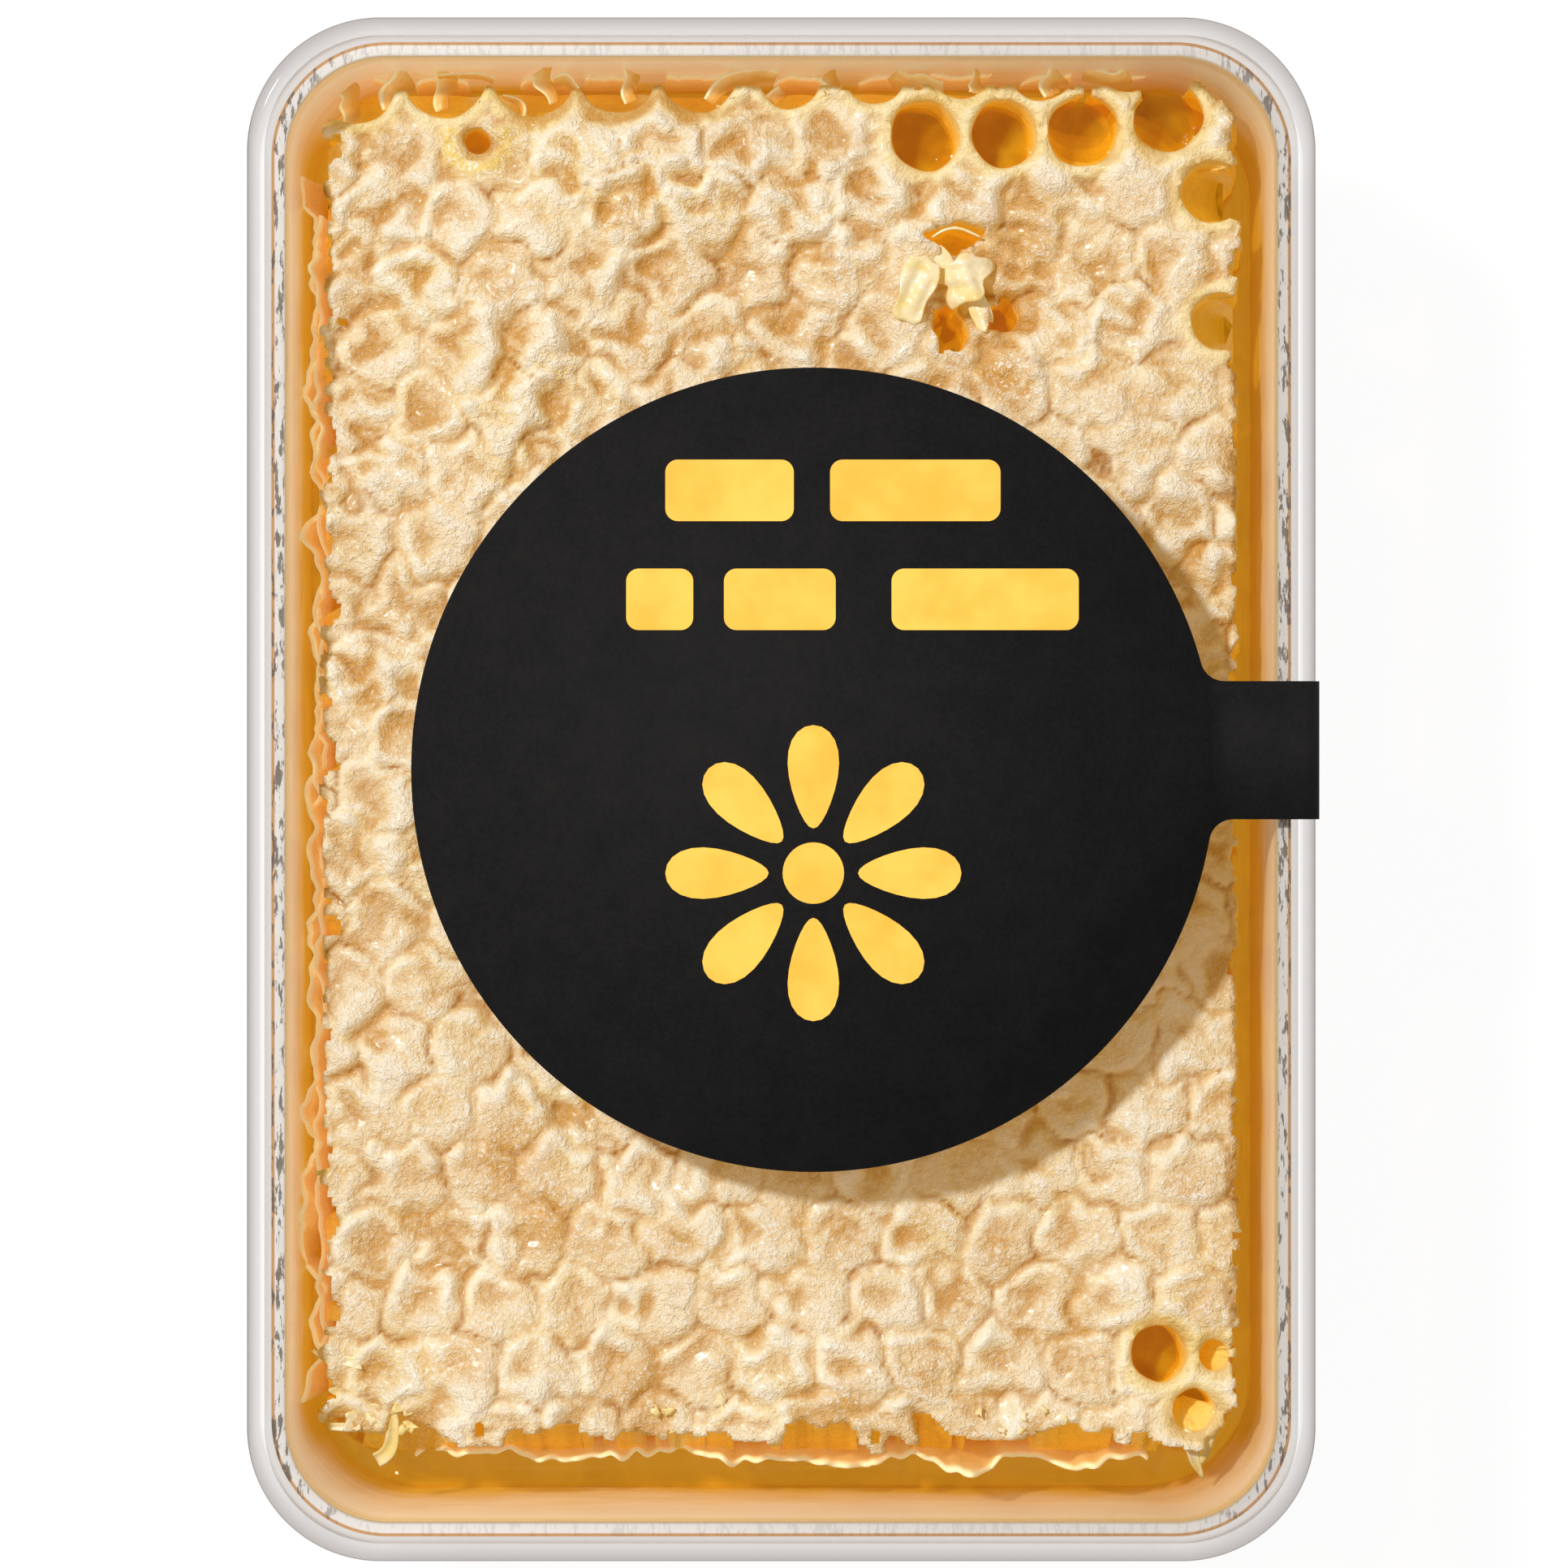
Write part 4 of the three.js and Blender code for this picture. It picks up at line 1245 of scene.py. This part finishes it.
# Honey smear: a thin wet film of honey on the tray's rim and the dry part of its wall, flecked
# dark on the rim. Its tan is also painted light: the honey's colour refracted through the clear
# wall. Seen along the wall it is a dense tan, and seen through it nearly clear.
FILM_GAP = 0.05 * MM
FILM_THICKNESS = 0.1 * MM
FILM_LOW = HONEY_LEVEL - 0.5 * MM
FILM_STEPS = 8
FILM_FILLET = 1.6 * MM
BLACK = (0, 0, 0, 1)
film_under = TRAY_RIM + FILM_GAP
film_top = film_under + FILM_THICKNESS
rim_places = [(0.02 * MM, 0), (0.25 * MM, 0.25)]
film_out = [(inset, film_under, shade, 0) for inset, shade in rim_places]
film_out.append((TRAY_WALL - 0.1 * MM, film_under, 0.8, 0))
film_in = [(inset, film_top, shade, 0) for inset, shade in rim_places]
film_in.append((TRAY_WALL, film_top, 0.8, 0))
for i in range(FILM_STEPS + 1):
    share = i / FILM_STEPS
    height = (TRAY_RIM - 0.1 * MM) * (1 - share) + FILM_LOW * share
    inset = TRAY_WALL + tray_inset(height) + FILM_GAP
    film_out.append((inset, height, 1 + share, 0))
    film_in.append((inset + FILM_THICKNESS, height, 1 + share, FILM_FILLET * share))
honey_smear = moulded_shell(
    film_out + film_in[::-1], TRAY_HALF_WIDTH, TRAY_HALF_LENGTH, TRAY_CORNER, joined=True)
smear, place = bare_material("honey_smear")
band = place.mark("band")
streaks = place.times(0.25, 0.25, 1).noise(2.4 * MM, 4, 0.6, 0.4)
across = place.node("ShaderNodeSeparateXYZ", {}, {0: place}, 0)
sideways = across.between(-36 * MM, 36 * MM)
across = across.maths("ABSOLUTE")
long_side = across.between(33.5 * MM, 35 * MM) * band.between(1.0, 1.3)
blotch = place.noise(9 * MM, 2, 0.5)
uneven = (streaks - 0.5) * 0.26 + (blotch - 0.5) * 0.2 + long_side * (band - 1) * 0.22
level = band * 0.5 + uneven * band.between(0.9, 1.1)
tans = level.node("ShaderNodeValToRGB", {"stops": [
    (0.0, srgb(200, 152, 104)),
    (0.1, srgb(206, 160, 112)),
    (0.14, srgb(236, 236, 238)),
    (0.34, srgb(230, 230, 232)),
    (0.42, srgb(172, 162, 154)),
    (0.5, srgb(232, 214, 188)),
    (0.7, srgb(226, 204, 168)),
    (0.84, srgb(212, 180, 128)),
    (0.93, srgb(204, 164, 70)),
    (1.0, srgb(196, 152, 38)),
]}, {"Fac": level})
flecks = place.times(1, 0.22, 1).noise(0.3 * MM, 3, 0.6)
on_rim = band.between(0.9, 0.7)
at_side = across.between(28 * MM, 36 * MM)
fleck = (flecks.between(0.52, 0.58) * 0.75 + 0.15) * on_rim * (0.2 + 0.8 * at_side)
# The film glows with painted light in its tan, more on the left wall, which the key light reaches
# through the clear plastic, and little on the rim and its flecks
tan = place.solid({
    "Base Color": fleck.mixed(tans, srgb(92, 86, 84)),
    "Roughness": 0.25,
    "IOR": 1.3,
    "Emission Color": (on_rim * 0.6 + fleck * 0.4 + sideways * 0.5).mixed(tans, BLACK),
    "Emission Strength": 0.4,
})
share = place.glance().between(0.6, 0.9) * 0.85 + on_rim * 0.7
share.blended(place.see_through(250, 236, 205), tan).shown()
placed_piece("honey_smear", honey_smear, smear)

# Lid: a flat clear plate with rounded corners, whose skirt slides down outside the
# tray. It is moulded in one piece and slightly thicker than the tray.
LID_LOW, LID_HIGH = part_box("lid")
LID_CORNER = 9.6 * MM
LID_PLATE = 1.2 * MM
LID_SKIRT_WALL = 1.2 * MM
LID_EDGE = 0.9 * MM
LID_EDGE_SHADE_WIDTH = 0.14 * MM
LID_INNER_BEVEL = 0.3 * MM
LID_FOOT_BEVEL = 0.25 * MM
# The profile's band values are painted edge shade: a thin dark line round the lid's top edge and a
# little on its skirt
lid_profile = [
    (LID_SKIRT_WALL + LID_INNER_BEVEL, LID_TOP - LID_PLATE, 0, 0),
    (LID_SKIRT_WALL, LID_TOP - LID_PLATE - LID_INNER_BEVEL, 0.1, 0),
    (LID_SKIRT_WALL, LID_LOW.z + LID_FOOT_BEVEL, 0.15, 0),
    (LID_SKIRT_WALL - LID_FOOT_BEVEL, LID_LOW.z, 0.1, 0),
    (LID_FOOT_BEVEL, LID_LOW.z, 0, 0),
    (0, LID_LOW.z + LID_FOOT_BEVEL, 0.15, 0),
]
for angle in quarter(8):
    inset = LID_EDGE * (1 - math.cos(angle))
    line = max(0, 1 - inset / LID_EDGE_SHADE_WIDTH)
    lid_profile.append((inset, LID_TOP - LID_EDGE * (1 - math.sin(angle)), line, 0))
lid_shell = moulded_shell(lid_profile, LID_HIGH.x, LID_HIGH.y, LID_CORNER)
lid_plastic = clear_plastic("lid_plastic")
placed_piece("lid_shell", lid_shell, lid_plastic, ["lid"])

# Label: a round sheet of uncoated black paper stuck to the lid. Its tab is folded over
# the right edge, down the skirt and in under it to the tray, and seals the box.
LABEL_RADIUS = 28.8 * MM
LABEL_X = 2.3 * MM
LABEL_Y = 1.4 * MM
LABEL_LIFT = 0.13 * MM
LABEL_THICKNESS = 0.15 * MM
TUCK_START = 0.2 * MM
TUCK_END = 2.2 * MM
TAB_HALF_WIDTH = 4.95 * MM
TAB_Y = 2.8 * MM
TAB_FILLET = 1.7 * MM
TAB_END = 17 * MM
ARC_STEP = math.radians(1.5)


def arc(x, y, radius, start, end):
    """Points along an arc, close enough together to look round."""
    count = max(2, math.ceil(abs(end - start) / ARC_STEP * max(radius / LABEL_RADIUS, 0.15)))
    turns = [start + (end - start) * i / count for i in range(count + 1)]
    return [(x + radius * math.cos(turn), y + radius * math.sin(turn)) for turn in turns]


tab_reach = LABEL_RADIUS + TAB_FILLET
tab_rise = TAB_HALF_WIDTH + TAB_FILLET
upper = math.asin((TAB_Y - LABEL_Y + tab_rise) / tab_reach)
lower = math.asin((TAB_Y - LABEL_Y - tab_rise) / tab_reach)
upper_x = LABEL_X + tab_reach * math.cos(upper)
lower_x = LABEL_X + tab_reach * math.cos(lower)
fold_x = LID_HIGH.x - LID_EDGE
outline = arc(LABEL_X, LABEL_Y, LABEL_RADIUS, upper, lower + 2 * math.pi)
outline += arc(lower_x, TAB_Y - tab_rise, TAB_FILLET, lower + math.pi, math.pi / 2)[1:]
outline += [(fold_x, TAB_Y - TAB_HALF_WIDTH), (fold_x, TAB_Y + TAB_HALF_WIDTH)]
outline += arc(upper_x, TAB_Y + tab_rise, TAB_FILLET, 1.5 * math.pi, upper + math.pi)[:-1]
label = bmesh.new()
sheet_z = LID_TOP + LABEL_LIFT
corners = [label.verts.new((x, y, sheet_z)) for x, y in outline]
label.faces.new(corners)
fold_edge = [
    edge for edge in label.edges if all(abs(vert.co.x - fold_x) < 1e-6 for vert in edge.verts)]
fold = []
for angle in quarter(6)[1:]:
    reach = LID_EDGE + LABEL_LIFT
    fold.append((fold_x + reach * math.sin(angle), LID_TOP - LID_EDGE + reach * math.cos(angle)))
wall_x = TRAY_HALF_WIDTH + LABEL_LIFT
fold.append((LID_HIGH.x + LABEL_LIFT, LID_LOW.z - TUCK_START))
fold.append((wall_x, LID_LOW.z - TUCK_END))
fold.append((wall_x - tray_inset(TAB_END), TAB_END))
for x, z in fold:
    fresh, fold_edge = extended(label, fold_edge)
    for vert in fresh:
        vert.co.x, vert.co.z = x, z
bmesh.ops.recalc_face_normals(label, faces=label.faces)
if max(label.faces, key=lambda face: face.calc_area()).normal.z < 0:
    bmesh.ops.reverse_faces(label, faces=label.faces)

label_paper, place = bare_material("label_paper")
fibre = place.noise(0.35 * MM, 4, 0.7)
mottle = place.noise(2.5 * MM, 3, 0.6)
black = (fibre * 0.6 + mottle * 0.4).between(0.3, 0.7).mixed(srgb(17, 16, 17), srgb(27, 26, 26))
place.solid({
    "Base Color": black,
    "Roughness": 0.75 + 0.15 * fibre,
    "Specular IOR Level": 0.15,
    "Normal": fibre.bump(0.03 * MM),
}).shown()
paper = placed_piece("label_sheet", label, label_paper, ["label"], sharp=30)
thickened(paper, LABEL_THICKNESS, 1)

# Print: a thin layer of amber ink on the label, in plain generic shapes: two rows of
# rounded bars over a rosette of petals.
PRINT_LIFT = LABEL_THICKNESS + 0.01 * MM
INK_THICKNESS = 0.015 * MM
BAR_HEIGHT = 4.4 * MM
BAR_ROUND = 0.9 * MM
# Each row's height on the label, and its bars' starts and lengths
BAR_ROWS = [
    (20.0, [(-10.6, 9.2), (1.2, 12.2)]),
    (12.2, [(-13.4, 4.8), (-6.4, 8.0), (5.6, 13.4)]),
]
ROSETTE_Y = -7.4 * MM
PETALS = 8
PETAL_POINTS = 24
PETAL_MIDDLE = 6.9 * MM
PETAL_HALF_LENGTH = 3.7 * MM
PETAL_HALF_WIDTH = 1.75 * MM
BUTTON_RADIUS = 2.2 * MM


def ink_outline(bm, points):
    """A thin flat field of ink with the given outline."""
    height = LID_TOP + LABEL_LIFT + PRINT_LIFT
    face = bm.faces.new([bm.verts.new((x, y, height)) for x, y in points])
    fresh = new_points(bmesh.ops.extrude_face_region(bm, geom=[face]))
    bmesh.ops.translate(bm, vec=(0, 0, INK_THICKNESS), verts=fresh)


ink = bmesh.new()
for row_y, bars in BAR_ROWS:
    for start, length in bars:
        left = LABEL_X + start * MM + BAR_ROUND
        right = LABEL_X + (start + length) * MM - BAR_ROUND
        low = LABEL_Y + row_y * MM - BAR_HEIGHT / 2 + BAR_ROUND
        high = low + BAR_HEIGHT - 2 * BAR_ROUND
        points = []
        for i, (x, y) in enumerate([(right, low), (right, high), (left, high), (left, low)]):
            points += arc(x, y, BAR_ROUND, (i - 1) * math.pi / 2, i * math.pi / 2)
        ink_outline(ink, points)
for i in range(PETALS):
    turn = 2 * math.pi * i / PETALS
    petal = []
    for j in range(PETAL_POINTS):
        angle = 2 * math.pi * j / PETAL_POINTS
        along = PETAL_MIDDLE + PETAL_HALF_LENGTH * math.cos(angle)
        across = PETAL_HALF_WIDTH * math.sin(angle) * (1 + 0.35 * math.cos(angle))
        x = along * math.cos(turn) - across * math.sin(turn)
        y = along * math.sin(turn) + across * math.cos(turn)
        petal.append((LABEL_X + x, LABEL_Y + ROSETTE_Y + y))
    ink_outline(ink, petal)
ink_outline(ink, arc(LABEL_X, LABEL_Y + ROSETTE_Y, BUTTON_RADIUS, 0, 2 * math.pi)[:-1])
bmesh.ops.recalc_face_normals(ink, faces=ink.faces)
amber_ink, place = bare_material("amber_ink")
fade = place.noise(6 * MM, 3, 0.6)
place.solid({
    "Base Color": fade.between(0.3, 0.7).mixed(srgb(240, 180, 52), srgb(250, 200, 78)),
    "Roughness": 0.55 + 0.2 * place.noise(0.4 * MM, 3),
}).shown()
placed_piece("label_ink", ink, amber_ink, sharp=30)

# Floor and lights: a pale floor, a fairly hard light from the upper left and soft
# light all round.
FLOOR_HALF = 3
FLOOR_GAP = 0.05 * MM
floor_bm = bmesh.new()
bmesh.ops.create_grid(floor_bm, x_segments=2, y_segments=2, size=FLOOR_HALF)
bmesh.ops.translate(floor_bm, vec=(0, 0, -FLOOR_GAP), verts=floor_bm.verts)
floor_mesh = bpy.data.meshes.new("floor")
floor_bm.to_mesh(floor_mesh)
floor_bm.free()
floor = added("floor", floor_mesh)
floor_finish, place = bare_material("floor_finish")
place.solid({
    "Base Color": srgb(66, 66, 66),
    "Roughness": 0.9,
    "Specular IOR Level": 0.0,
    "Emission Color": srgb(249, 249, 249),
    "Emission Strength": 1.0,
}).shown()
floor_mesh.materials.append(floor_finish)

KEY_WAY = Vector((-0.48, 0.36, 1.0)).normalized()
KEY_DISTANCE = 1.2
KEY_WIDTH = 0.1
KEY_WATTS = 13.3
KEY_COLOUR = (1.0, 0.975, 0.94)
SKY_COLOUR = (1.0, 0.985, 0.965, 1)
SKY_STRENGTH = 0.44
CLEAR_LAYERS = 18
key = added("key_light", bpy.data.lights.new("key_light", "AREA"))
key.data.shape = "DISK"
key.data.size = KEY_WIDTH
key.data.energy = KEY_WATTS
key.data.color = KEY_COLOUR
key.location = KEY_WAY * KEY_DISTANCE
key.rotation_euler = KEY_WAY.to_track_quat("Z", "Y").to_euler()

world = bpy.data.worlds.new("soft_light")
world.use_nodes = True
sky = world.node_tree.nodes["Background"].inputs
sky["Color"].default_value = SKY_COLOUR
sky["Strength"].default_value = SKY_STRENGTH
scene.world = world
scene.view_settings.view_transform = "Standard"
scene.cycles.transparent_max_bounces = CLEAR_LAYERS

bpy.context.view_layer.update()
